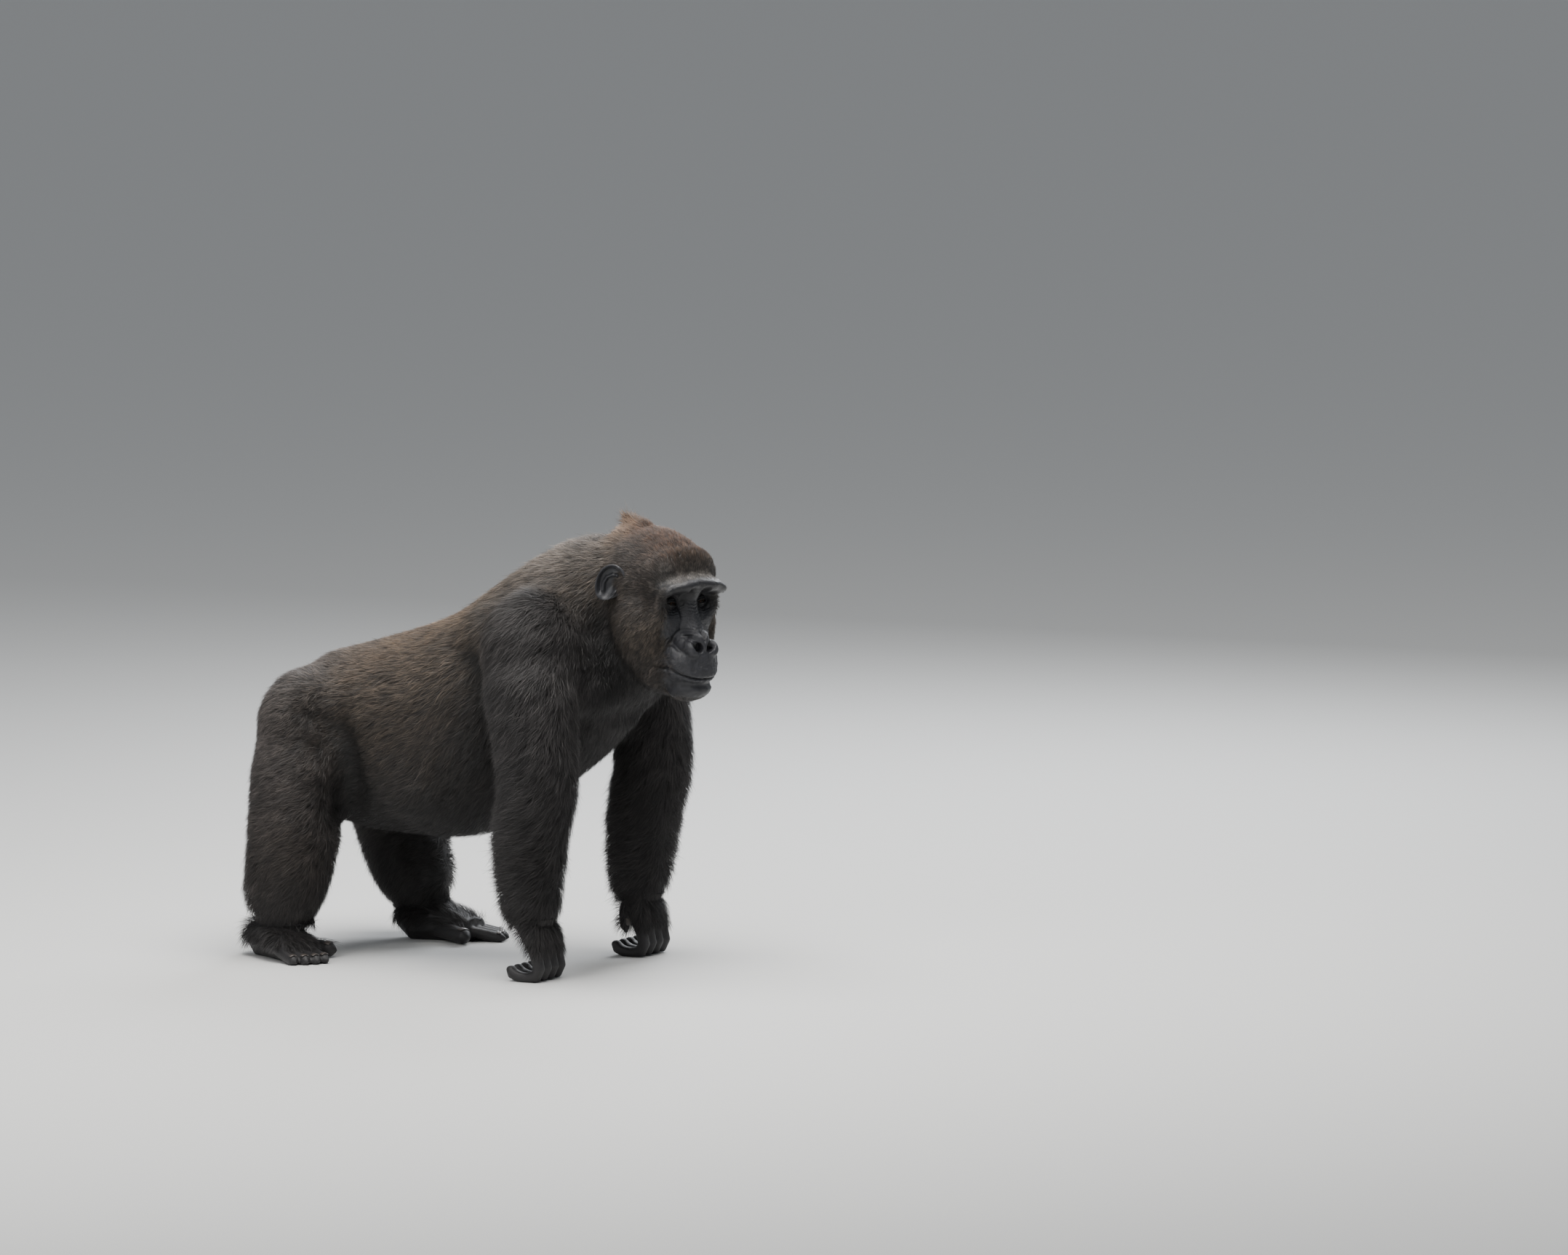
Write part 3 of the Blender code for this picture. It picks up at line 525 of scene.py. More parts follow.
HEAD_SITES = (
    Site("FACE", (0.030, 0.000, 0.056), (-0.35, 0.0, 1.0), 6, 2.0, Tint.PALE, 18, 0.42),
    Site("FACE", (0.010, 0.055, 0.055), (-0.60, 0.10, 1.0), 6, 2.0, Tint.PALE, 18, 0.42),
    Site("FACE", (0.012, 0.000, 0.080), (-0.60, 0.0, 0.80), 9, 3.5, Tint.BROWN, 22, 0.46),
    Site("FACE", (-0.020, 0.030, 0.112), (-0.80, 0.10, 0.60), 12, 5.0, Tint.CHESTNUT, 28, 0.46),
    Site("FACE", (-0.070, 0.000, 0.140), (-1.0, 0.0, 0.20), 14, 6.0, Tint.CHESTNUT, 32, 0.48),
    Site("FACE", (-0.060, 0.065, 0.105), (-1.0, 0.10, 0.0), 13, 5.5, Tint.UMBER, 32, 0.48),
    Site("FACE", (-0.040, 0.083, 0.050), (-0.90, 0.10, 0.30), 10, 4.0, Tint.UMBER, 28, 0.46),
    Site("FACE", (-0.060, 0.096, 0.005), (-0.85, 0.0, -0.35), 10, 4.0, Tint.UMBER, 28, 0.46),
    Site("FACE", (-0.080, 0.104, -0.045), (-0.65, 0.0, -0.80), 12, 5.0, Tint.SPECKLED, 30, 0.46),
    Site("FACE", (-0.040, 0.082, -0.075), (-0.60, 0.0, -0.85), 9, 3.5, Tint.SPECKLED, 26, 0.42),
    Site("FACE", (-0.050, 0.075, -0.125), (-0.70, 0.0, -0.75), 10, 4.0, Tint.UMBER, 28, 0.42),
    Site("FACE", (-0.010, 0.050, -0.165), (-0.80, 0.0, -0.60), 8, 3.0, Tint.UMBER, 24, 0.42),
    Site("FACE", (0.030, 0.000, -0.190), (-0.90, 0.0, -0.40), 6, 2.0, Tint.SLATE, 22, 0.42),
    Site("FACE", (-0.070, 0.000, -0.190), (-0.90, 0.0, -0.40), 14, 6.0, Tint.BLACK, 36, 0.60),
    Site("NAPE", (-0.120, 0.090, 0.080), (-0.90, 0.0, -0.40), 16, 7.0, Tint.UMBER, 28, 0.55),
    Site("NAPE", (-0.130, 0.000, 0.150), (-1.0, 0.0, 0.35), 16, 7.0, Tint.CHESTNUT, 26, 0.42),
    Site("NAPE", (-0.170, 0.000, 0.142), (-0.90, 0.0, 0.90), 23, 13.5, Tint.TAN, 25, 0.42),
    Site("NAPE", (-0.168, 0.034, 0.128), (-0.90, 0.30, 0.46), 22, 12.0, Tint.TAN, 22, 0.42),
    Site("NAPE", (-0.195, 0.050, 0.075), (-1.0, 0.0, -0.35), 26, 12.0, Tint.FUZZ, 34, 0.60),
    Site("NAPE", (-0.140, 0.108, 0.000), (-0.75, 0.35, -0.75), 20, 8.0, Tint.UMBER, 26, 0.55),
    # black neck hair, made black here also as painted shade in the gap between jaw and shoulder
    Site("NAPE", (-0.130, 0.110, -0.080), (-0.62, 0.30, -0.90), 22, 9.0, Tint.BLACK, 36, 0.60),
    Site("NAPE", (-0.100, 0.085, -0.150), (-0.50, 0.20, -0.95), 20, 8.0, Tint.BLACK, 36, 0.60),
)


@dataclass(frozen=True)
class Fold:
    """A deep fold between two masses, on both sides: darker, and sunk below the hide around it.

    path is in metres, in the head's frame for a fold on the head. depth and width are in
    millimetres, and dark is the share of colour lost along the path: painted shade in the fold.
    A negative depth is a ridge of fuller hair, and a fold of depth 0 is painted shade only.
    """

    path: tuple[tuple[float, float, float], ...]
    depth: float
    width: float
    dark: float
    on_head: bool = False

    def share(self, places: Array, head: HeadFrame) -> Array:
        """How near places are to the fold, from 1 on its path to 0 well away from it.

        Args:
            places: world rows.
            head: the head's frame.

        Returns:
            A bell of the distance to the nearest segment of the path.
        """
        rows = head.local(places) if self.on_head else places.copy()
        rows[:, 1] = np.abs(rows[:, 1])
        return bell(path_distance(rows, self.path), 0.0, self.width * MM)


GROIN = ((-0.325, 0.190, 0.480), (-0.292, 0.182, 0.455), (-0.266, 0.176, 0.425), (-0.256, 0.174, 0.374))
THIGH_FRONT = ((-0.268, 0.172, 0.320), (-0.280, 0.160, 0.290))
BELLY_SIDE = ((-0.262, 0.180, 0.450), (-0.234, 0.178, 0.400), (-0.224, 0.172, 0.330), (-0.240, 0.150, 0.270))
BEHIND_ARM = ((0.030, 0.185, 0.610), (0.062, 0.192, 0.555), (0.078, 0.195, 0.480), (0.083, 0.165, 0.400))
BEHIND_JAW = (
    (-0.140, 0.105, -0.020),
    (-0.122, 0.102, -0.090),
    (-0.095, 0.085, -0.150),
    (-0.060, 0.040, -0.195),
)
SIDE_OF_NECK = ((-0.160, 0.112, -0.040), (-0.145, 0.110, -0.105), (-0.115, 0.092, -0.170))
FOREHEAD = ((-0.002, 0.000, 0.098), (-0.012, 0.045, 0.094))
# each fold darkens the hair along it as painted shade; those of depth 0, by the belly and down the neck, are
# painted shade only
FOLDS = (
    Fold((*GROIN, *THIGH_FRONT), 25, 36, 0.98),
    Fold(BEHIND_ARM, 14, 33, 0.92),
    Fold(BEHIND_JAW, 9, 26, 0.90, True),
    Fold(FOREHEAD, -8, 36, 0.0, True),
    Fold(BELLY_SIDE, 0, 42, 0.60),
    Fold(SIDE_OF_NECK, 0, 34, 0.45, True),
)


@dataclass(frozen=True)
class Lie:
    """The coat blended from all its sites, for any places on the body."""

    head: HeadFrame

    def _rows(self) -> list[tuple[str, Array, Array, Site]]:
        """Every site and its twin on the other side.

        Returns:
            The part, world place and world lie of each, and the site.
        """
        rows = []
        for sites, on_head in ((BODY_SITES, False), (HEAD_SITES, True)):
            for site in sites:
                for hand, side in ((-1, "RIGHT"), (1, "LEFT")):
                    mirror = np.array((1, hand, 1))
                    place, lie = np.array(site.place) * mirror, np.array(site.lie) * mirror
                    if on_head:
                        place, lie = self.head.world(place), self.head.way(lie)
                    part = f"{site.part}_{side}" if site.part in ("ARM", "LEG") else site.part
                    rows.append((part, place, lie, site))
        return rows

    def at(self, places: Array) -> dict[str, Array]:
        """Blend the sites with Gaussian weights over their reach.

        Args:
            places: world rows.

        Returns:
            lie, length, depth, width, root and tip colours with painted shade in the folds, and the number of
            the ruling part.
        """
        rows = self._rows()
        spots = np.array([place for _, place, _, _ in rows])
        reach = np.array([site.reach for *_, site in rows]) * MM
        sizes = np.array([(site.length, site.depth, site.width) for *_, site in rows]) * MM
        tints = [sum(site.tint.value, ()) for *_, site in rows]
        values = np.hstack([[lie for _, _, lie, _ in rows], sizes, tints])
        owner = np.array([[part == piece.name for piece in Part] for part, *_ in rows], float)
        blended, ruling = [], []
        for block in np.array_split(places, max(1, len(places) // BLOCK)):
            apart = ((block[:, None] - spots) ** 2).sum(axis=2) / (2 * reach**2)
            share = np.exp(-(apart - apart.min(axis=1, keepdims=True)))
            share /= share.sum(axis=1, keepdims=True)
            blended.append(share @ values)
            ruling.append((share @ owner).argmax(axis=1))
        table = np.vstack(blended)
        # painted shade: root and tip colours darkened along each fold; the hairs there are also shorter and
        # lie lower
        for fold in FOLDS:
            near = fold.share(places, self.head)
            table[:, 6:] *= (1 - fold.dark * near)[:, None]
            table[:, 3:5] *= (1 - 0.52 * fold.dark * near)[:, None]
        return {
            "lie": unit(table[:, :3]),
            "length": table[:, 3],
            "depth": table[:, 4],
            "width": table[:, 5],
            "root": table[:, 6:9],
            "tip": table[:, 9:12],
            "part": np.concatenate(ruling),
        }


# ---------------------------------------------------------------- the bare face
@dataclass(frozen=True)
class Face:
    """Sizes and forms of the bare face, in the head's frame."""

    head: HeadFrame
    eye_spread: float = 35.5 * MM
    eye_radius: float = 12.5 * MM
    opening_half: float = 10.4 * MM
    upper_lid: float = 3.0 * MM
    lower_lid: float = 3.5 * MM
    lid_thick: float = 1.2 * MM
    nostril_side: float = 16.5 * MM
    nostril_up: float = -80.5 * MM
    nostril_tilt: float = math.radians(30)
    mouth_up: float = -142.0 * MM
    mouth_half: float = 60.0 * MM
    mouth_rise: float = 25.0 * MM
    nose_draw: float = 0.17
    nostril_size: tuple[float, float] = (12.0 * MM, 8.2 * MM)
    nostril_deep: float = 14.0 * MM
    wing_size: tuple[float, float] = (18.5 * MM, 19.5 * MM)
    wing_up: float = 1.5 * MM
    wing_high: float = 5.0 * MM
    crease_deep: float = 4.8 * MM
    cleft_deep: float = 3.4 * MM
    lid_reach: float = 20 * MM
    lid_blend: tuple[float, float] = (14.5 * MM, 10.5 * MM)
    margin_snap: float = 0.42 * MM
    margin_gap: float = 0.10 * MM
    behind_eye: float = 3.2 * MM
    least_sphere: float = 3.0 * MM

    def bare(self, places: Array) -> Array:
        """How bare the skin is: a wandering edge round the front of the face.

        Args:
            places: world rows.

        Returns:
            1 on the front of the face, falling to 0 in the hair around it.
        """
        f, side, z = self.head.local(places).T
        wander = 5 * MM * noise(places, 16 * MM, 5) + 3 * MM * noise(places, 6 * MM, 6)
        edge = f + wander + 0.010 * bell(z, -0.005, 0.030) - 0.012 * bell(z, -0.090, 0.040)
        front = ease(-0.026, -0.004, edge)
        under_brow = ease(0.054, 0.042, z + 0.6 * wander + 0.013 * (side / 0.075) ** 2)
        over_chin = ease(-0.192, -0.168, z + wander)
        out = np.abs(side) + 0.6 * wander
        beside_eye = 1 - ease(0.050, 0.066, out) * ease(0.022, 0.006, z)
        return front * under_brow * over_chin * beside_eye * ease(0.078, 0.062, out)

    def mouth_line(self, side: Array) -> Array:
        """Height of the line between the lips: a flat middle that turns up at the corners."""
        return self.mouth_up + self.mouth_rise * np.abs(side / self.mouth_half) ** 2.75

    def sculpt(self, local: Array, normals: Array) -> Array:
        """Move the skin of the face into its folds, lids, nose and lips.

        Args:
            local: vertex rows in the head's frame.
            normals: their normals in the same frame.

        Returns:
            The moved rows.
        """
        front = ease(-0.045, -0.020, local[:, 0])
        rise = (self.nose(local) + self.lips(local) + self.folds(local)) * front
        return self.lids(self.settle(local) + normals * rise[:, None])

    def settle(self, local: Array) -> Array:
        """Broaden the bridge of the nose, draw in its wings and round the rim outside each eye.

        The bridge is a parabola across, on a profile set at a few heights.

        Args:
            local: vertex rows in the head's frame.

        Returns:
            The moved rows.
        """
        moved = local.copy()
        forward, side, up = local.T
        out = np.abs(side)
        heights = np.array((-64, -50, -36, -22, -8, 6, 18, 32)) * MM
        profile = np.array((48, 36, 28, 22.5, 19, 18.5, 25, 39)) * MM
        narrow = np.interp(up, np.array((-56, -15)) * MM, np.array((44, 21)) * MM)
        target = np.interp(up, heights, profile) - out**2 / narrow
        share = ease(0.027, 0.016, out) * ease(-0.066, -0.056, up) * ease(0.036, 0.022, up)
        moved[:, 0] += share * (target - forward)
        brow_arch = 3.5 * MM * bell(out, 0.036, 0.018) * bell(up, 0.037, 0.010)
        brow_end = ease(0.048, 0.078, out) * bell(up, 0.029, 0.016) * ease(-0.030, -0.005, forward)
        down_and_out = np.stack([np.ones_like(out), np.sign(side), -1.3 * np.ones_like(out)], axis=1)
        brow_notch = 3.0 * MM * bell(side, 0, 0.009) * bell(up, 0.034, 0.012)
        under_brow = 9 * MM * bell(out, 0.038, 0.016) * bell(up, 0.0150, 0.0080)
        rim = 6.5 * MM - 2.5 * MM * np.sign(side)
        orbit = rim * bell(out, 0.056, 0.012) * bell(up, -0.004, 0.021) * ease(-0.020, 0.000, forward)
        cheekbone = 5 * MM * bell(out, 0.054, 0.014) * bell(up, -0.036, 0.016) * ease(-0.030, -0.005, forward)
        moved[:, 0] += brow_arch
        moved += brow_end[:, None] * (5 * MM * down_and_out)
        for hollow in (brow_notch, under_brow, orbit, cheekbone):
            moved[:, 0] -= hollow
        drawn = self.nose_draw * ease(0.052, 0.032, out) * bell(up, -0.080, 0.024)
        moved[:, 1] -= drawn * ease(-0.030, -0.010, forward) * side
        return moved

    def nose(self, local: Array) -> Array:
        """Height of the nose: two puffed wings round the nostrils, a cleft above and a hollow in each.

        The wing is a ring of height in an ellipse round the nostril, whose rim is at 1. The nostril
        is a narrower ellipse, with its outer end higher.

        Args:
            local: vertex rows in the head's frame.

        Returns:
            A height for each row.
        """
        _, side, up = local.T
        total = np.zeros(len(local))
        c, s = math.cos(self.nostril_tilt), math.sin(self.nostril_tilt)
        for hand in (-1, 1):
            across = side * hand - self.nostril_side
            above = up - self.nostril_up
            outward, higher = across / self.wing_size[0], (above - self.wing_up) / self.wing_size[1]
            around = np.hypot(outward, higher)
            inner = ease(-1.02, -0.42, outward)
            wing = self.wing_high * bell(around, 0.98, 0.33) * inner
            total += wing * ease(-1.15, -0.25, higher + 0.45 * outward)
            crease = bell(around, 1.48, 0.15) * ease(-0.30, 0.45, outward + 0.20 * higher)
            crease = crease * ease(-1.15, -0.35, higher)
            total -= self.crease_deep * crease * (1 - 0.5 * ease(0.5, 1.2, higher))
            along, beside = across * c + above * s, above * c - across * s
            broad, high = self.nostril_size
            hole = np.hypot(along / broad, (beside + 0.12 * np.abs(along)) / high)
            total -= self.nostril_deep * ease(1.28, 0.60, hole)
        cleft = bell(side, 0, 2.4 * MM) * ease(-0.080, -0.068, up) * ease(-0.048, -0.058, up)
        septum = bell(side, 0, 3.0 * MM) * bell(up, self.nostril_up - 3 * MM, 8 * MM)
        return total - self.cleft_deep * cleft + 1.2 * MM * septum

    def lips(self, local: Array) -> Array:
        """Height of the lips: a narrow groove along the mouth line between two soft ridges.

        Args:
            local: vertex rows in the head's frame.

        Returns:
            A height for each row.
        """
        _, side, up = local.T
        share = np.abs(side) / self.mouth_half
        over = (up - self.mouth_line(side)) / (1 + 0.9 * share**3)
        along = ease(1.08, 0.94, share)
        groove = -4.4 * MM * bell(over, 0, 1.5 * MM)
        upper = 1.3 * MM * bell(over, 6.0 * MM, 4.2 * MM)
        lower = 1.8 * MM * bell(over, -4.6 * MM, 3.0 * MM)
        under = -1.6 * MM * bell(over, -13 * MM, 5.0 * MM) * ease(0.9, 0.4, share)
        corner = np.hypot(np.abs(side) - self.mouth_half, (up - self.mouth_line(side)) / 1.6)
        wave = np.sin((side + 0.3 * noise(local, 8 * MM, 8) * 4 * MM) / (1.7 * MM))
        ripple = 0.30 * MM * wave * bell(over, -2 * MM, 9 * MM)
        return along * (groove + upper + lower + under + ripple) - 2.4 * MM * bell(corner, 0, 3.6 * MM)

    def folds(self, local: Array) -> Array:
        """Height of the folds: under the eyes, across the bridge and from the nose to the mouth.

        Args:
            local: vertex rows in the head's frame.

        Returns:
            A height for each row.
        """
        _, side, up = local.T
        out = np.abs(side)
        wander = 1.8 * MM * noise(local, 10 * MM, 11) + 0.7 * MM * noise(local, 4 * MM, 12)
        bridge = bell(side, 0, 19 * MM) * ease(-0.070, -0.056, up) * ease(0.010, -0.008, up)
        strength = (0.55 + 0.30 * noise(local, 7 * MM, 13)) * MM
        cross = np.sin((up - 0.30 * out + wander) / (1.05 * MM)) * strength * bridge
        bags = np.zeros(len(local))
        reach = np.hypot((out - self.eye_spread - 2 * MM) / 1.35, up + 1 * MM) + 1.6 * wander
        for radius, deep in ((14.5, 0.8), (19.0, 0.5), (26.0, 0.45)):
            bags -= deep * MM * bell(reach, radius * MM, 1.0 * MM)
            bags += 0.5 * deep * MM * bell(reach, (radius + 1.9) * MM, 1.3 * MM)
        bags *= ease(0.000, -0.007, up - 0.25 * (self.eye_spread - out)) * ease(-0.054, -0.030, up)
        cheek = np.zeros(len(local))
        slope = out - 0.040 + 0.55 * (up + 0.080) + wander
        for shift, deep in ((9.0, 1.5), (13.5, 1.0), (19.0, 0.9), (24.0, 0.6)):
            cheek -= deep * MM * bell(slope, shift * MM, 1.1 * MM)
            cheek += 0.5 * deep * MM * bell(slope, (shift + 2.0) * MM, 1.4 * MM)
        cheek *= ease(-0.058, -0.074, up) * ease(-0.132, -0.108, up)
        crease = 0.26 * MM * noise(local, 2.2 * MM, 3) + 0.45 * MM * noise(local, 5.0 * MM, 4)
        brow_line = -0.9 * MM * bell(up - 5 * side**2, 0.027, 1.8 * MM) * bell(side, 0, 36 * MM)
        lump = 1.2 * MM * noise(local, 22 * MM, 14)
        return cross + bags + cheek + crease + brow_line + lump

    def opening(self, across: Array) -> tuple[Array, Array]:
        """Heights of the lid margins: each is an arch over the breadth of the opening.

        Args:
            across: place across the eye, as a share of half the opening's breadth.

        Returns:
            The upper and the lower margin.
        """
        arch = np.sqrt(np.clip(1 - across**2, 0, 1))
        tilt = 0.9 * MM * across
        return self.upper_lid * arch**1.15 + tilt, -self.lower_lid * arch + tilt

    def lids(self, local: Array) -> Array:
        """Wrap the skin round each eyeball and open it between the lids.

        Near the opening the skin lies on a sphere a lid's thickness over the eyeball, with a crease
        over the upper lid. Inside the opening it drops behind the eyeball. Vertices beside the
        margin are drawn onto it, so that the edge is clean.

        Args:
            local: vertex rows in the head's frame.

        Returns:
            The moved rows.
        """
        moved = local.copy()
        for hand in (-1, 1):
            side = moved[:, 1] * hand - self.eye_spread
            up = moved[:, 2]
            near = (np.hypot(side, up) < self.lid_reach) & (moved[:, 0] > -0.030)
            upper, lower = self.opening(side / self.opening_half)
            inside = near & (np.abs(side) < self.opening_half)
            for margin, above in ((upper, 1), (lower, -1)):
                gap = (up - margin) * above
                snap = inside & (np.abs(gap) < self.margin_snap)
                moved[:, 2] = np.where(snap, margin + above * self.margin_gap, moved[:, 2])
            up = moved[:, 2]
            open_here = inside & (up < upper) & (up > lower)
            ring = np.hypot(side, up)
            over = self.eye_radius + self.lid_thick
            sphere = -EYE_BACK + np.sqrt(np.clip(over**2 - ring**2, self.least_sphere**2, None))
            crease = 0.9 * MM * bell(up - upper, 3.4 * MM, 0.8 * MM)
            sphere = sphere - crease * ease(12 * MM, 8 * MM, np.abs(side))
            sphere = sphere + 0.6 * MM * bell(up - lower, -1.6 * MM, 1.0 * MM)
            share = ease(*self.lid_blend, ring) * near
            wrapped = moved[:, 0] + share * (sphere - moved[:, 0])
            inner = self.eye_radius - self.behind_eye
            behind = -EYE_BACK + np.sqrt(np.clip(inner**2 - ring**2, 0, None))
            moved[:, 0] = np.where(open_here, behind, wrapped)
        return moved

    def shade(self, places: Array, colours: Array) -> Array:
        """Darken brow, nostrils, lids and the mouth line, and lighten the lip's edge and the muzzle.

        Args:
            places: world rows.
            colours: their colours so far.

        Returns:
            The shaded colours.
        """
        # all of this is painted light and shade on the bare skin, weighed by how bare it is
        local = self.head.local(places)
        _, side, up = local.T
        out = np.abs(side)
        over = up - self.mouth_line(side)
        along = ease(1.10, 0.94, out / self.mouth_half)
        # painted shade along the line between the lips
        dark = 0.75 * bell(over, 0, 1.5 * MM) * along
        # painted shade in each nostril
        drawn_side = self.nostril_side * (1 - self.nose_draw)
        hole = np.hypot((out - drawn_side) / (9 * MM), (up - self.nostril_up) / (7.5 * MM))
        dark = np.maximum(dark, 0.85 * ease(1.25, 0.6, hole))
        # painted shade round each eye, under the brow
        socket = np.hypot((out - self.eye_spread) / 1.5, up - 2 * MM)
        dark = np.maximum(dark, 0.72 * ease(24 * MM, 8 * MM, socket))
        # painted highlight along the lower lip's edge, and a painted highlight on the muzzle
        pale = 0.7 * bell(over, -2.6 * MM, 1.6 * MM) * along
        pale = pale + 0.25 * bell(up, -0.084, 0.030) * bell(side, 0, 0.040)
        # painted shade on the front of the brow, so that only its top edge stays light
        dark = np.maximum(dark, 0.58 * bell(up, 0.026, 0.016))
        bare = self.bare(places)
        factor = 1 + bare * (pale - dark * (1 + pale))
        return colours * factor[:, None]


# ---------------------------------------------------------------- the hide
BARE_HIDE = np.array((0.0128, 0.0131, 0.0160))
SOLE_HIDE = np.array((0.0125, 0.0115, 0.0122))


@dataclass
class Hide:
    """The skin of the whole animal, inside the frame's flesh by the depth of the coat."""

    head: HeadFrame
    face: Face
    lie: Lie
    body_cell: float = 10.3 * MM
    end_cell: float = 2.6 * MM
    end_share: float = 0.29
    tips_front: float = 158 * MM
    tip_start: float = 23.5 * MM
    tip_round: float = 6.5 * MM
    palm_low: float = 44.5 * MM
    swell: float = 0.8 * MM
    end_swell: float = 0.3 * MM
    end_sunk: float = 9 * MM
    end_rounds: int = 5
    body_rounds: int = 12
    cheek_rounds: int = 14
    wrist: tuple[float, float] = (0.112, 0.122)
    ankle: tuple[float, float] = (0.064, 0.074)
    root_share: float = 0.6
    tip_share: float = 0.05
    seam_turn: float = math.radians(72)
    map_gap: float = 0.001

    def build(self) -> bpy.types.Object:
        """Make the hide and dress it.

        Returns:
            The hide, riding on the frame and standing for its flesh.
        """
        shells = [self.body_shell()]
        shells += [self.end_shell(kind, side) for side in SIDES for kind in ("hand", "foot")]
        rows, blocks, grows, start = [], [], [], 0
        for shell in shells:
            rows.append(read(shell))
            blocks.append(triangles(shell) + start)
            upper = self.above_ends(rows[-1])
            grows.append(upper if start == 0 else 1 - upper)
            start += len(shell.vertices)
        places = np.vstack(rows)
        mesh = mesh_of("hide", places, np.vstack(blocks))
        paint(mesh, self.colours(places))
        share = mesh.attributes.new(GROWS, "FLOAT", "POINT")
        share.data.foreach_set("value", np.concatenate(grows).astype(np.float32))
        hide = place_in_scene("hide", mesh)
        self.unwrap(hide)
        mesh.materials.append(Leather("hide", roughness=0.46, bump=0.80, sheen=0.02).material())
        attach(hide, "root")
        parts = (*LIMB_NODES, "hand", "foot", *FINGERS, *TOES)
        limbs = [f"{name}_{side}" for side in SIDES for name in parts]
        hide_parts(*TRUNK_NODES, *limbs)
        return hide

    def unwrap(self, hide: bpy.types.Object) -> None:
        """Lay the hide out flat by its own shape, as the map that the tufts take their places from.

        Args:
            hide: the hide, in the scene.
        """
        hide.data.uv_layers.new(name=COAT_UV)
        bpy.context.view_layer.objects.active = hide
        hide.select_set(True)
        bpy.ops.object.mode_set(mode="EDIT")
        bpy.ops.mesh.select_all(action="SELECT")
        bpy.ops.uv.smart_project(angle_limit=self.seam_turn, island_margin=self.map_gap)
        bpy.ops.object.mode_set(mode="OBJECT")
        hide.select_set(False)

    def above_ends(self, places: Array) -> Array:
        """1 on the limbs above the wrists and ankles, 0 below, where the finer ends take over."""
        return limb_step(places, self.wrist, self.ankle)

    def body_shell(self) -> bpy.types.Mesh:
        """Trunk, limbs and head as one surface, finer over the head and finest on the face.

        The solids are merged into one shell, which is laid back onto them and softened, sunk by the
        depth of the coat and of the folds, and sculpted on the face.

        Returns:
            The shell.
        """
        limbs = [f"{name}_{side}" for side in SIDES for name in (*LIMB_NODES, "hand", "foot")]
        names = [*TRUNK_NODES, *limbs, *(f"eye_{side}" for side in SIDES)]
        flesh = merged_nodes(names, self.swell)
        shell = with_modifiers(flesh.copy(), ("REMESH", {"mode": "VOXEL", "voxel_size": self.body_cell}))
        shell = self.refined(shell, self.on_head)
        target = place_in_scene("flesh", flesh)
        wrap = {"target": target, "wrap_method": "NEAREST_SURFACEPOINT"}
        places = read(with_modifiers(shell.copy(), ("SHRINKWRAP", wrap)))
        bpy.data.objects.remove(target, do_unlink=True)
        edges = edges_of(shell)
        on_head = self.on_head(places)
        places = relax(places, edges, self.body_rounds, np.where(on_head, 0.0, 1.0))
        write(shell, relax(places, edges, 4))
        for test, rounds in ((self.on_face, 3), (self.on_features, 2), (self.on_edges, 2)):
            shell = self.refined(shell, test)
            places = read(shell)
            edges = edges_of(shell)
            places = relax(places, edges, rounds, np.where(self.on_face(places), 1.0, 0.0))
            if test == self.on_face:
                places = relax(places, edges, self.cheek_rounds, self.on_cheek(places), regain=0.0)
            write(shell, places)
        places = read(shell)
        bare = self.face.bare(places)
        depth = self.lie.at(places)["depth"] * (1 - bare) + self.swell + self.sunk_ends(places)
        for fold in FOLDS:
            depth += fold.depth * MM * fold.share(places, self.head)
        places = places - read(shell, "normal") * depth[:, None]
        on_face = self.on_face(places)
        write(shell, relax(places, edges_of(shell), 3, np.where(on_face, 0.0, 1.0)))
        places = read(shell)
        local = self.head.local(places)
        normals = read(shell, "normal") @ self.head.turn
        sculpted = np.where(on_face[:, None], self.face.sculpt(local, normals), local)
        write(shell, self.head.world(sculpted))
        return shell

    def sunk_ends(self, places: Array) -> Array:
        """How much deeper the body's surface runs inside the hands and feet, to end out of sight."""
        return self.end_sunk * limb_step(places, (0.122, 0.092), (0.076, 0.052))

    def on_head(self, places: Array) -> Array:
        """Whether places are on the head, ahead of the neck."""
        f, side, z = self.head.local(places).T
        return (f + 0.42 * z > -0.175) & (z > -0.215) & (f < 0.12) & (np.abs(side) < 0.125)

    def on_face(self, places: Array) -> Array:
        """Whether places are on the front of the head."""
        f, _, z = self.head.local(places).T
        return self.on_head(places) & (f > -0.052) & (z < 0.062) & (z > -0.200)

    def on_cheek(self, places: Array) -> Array:
        """How far places are within the cheeks, where facets are softened most.

        Args:
            places: world rows.

        Returns:
            A share for each row: 1 under the eyes and beside the mouth, 0 elsewhere.
        """
        f, side, z = self.head.local(places).T
        out = np.abs(side)
        under = ease(-0.012, -0.022, z) * ease(-0.085, -0.065, z) * ease(0.030, 0.040, out)
        beside = ease(-0.075, -0.090, z) * ease(-0.155, -0.140, z) * ease(0.052, 0.062, out)
        return np.maximum(under, beside) * ease(-0.045, -0.030, f)

    def on_features(self, places: Array) -> Array:
        """Whether places are among the eyes, the nose and the mouth.

        Args:
            places: world rows.

        Returns:
            True or False for each row.
        """
        f, side, z = self.head.local(places).T
        out = np.abs(side)
        middle = (out < 0.058) & (z > -0.124) & (z < 0.016)
        mouth = (out < 0.068) & (np.abs(z - self.face.mouth_line(side)) < 12 * MM)
        return self.on_face(places) & (f > -0.034) & (middle | mouth)

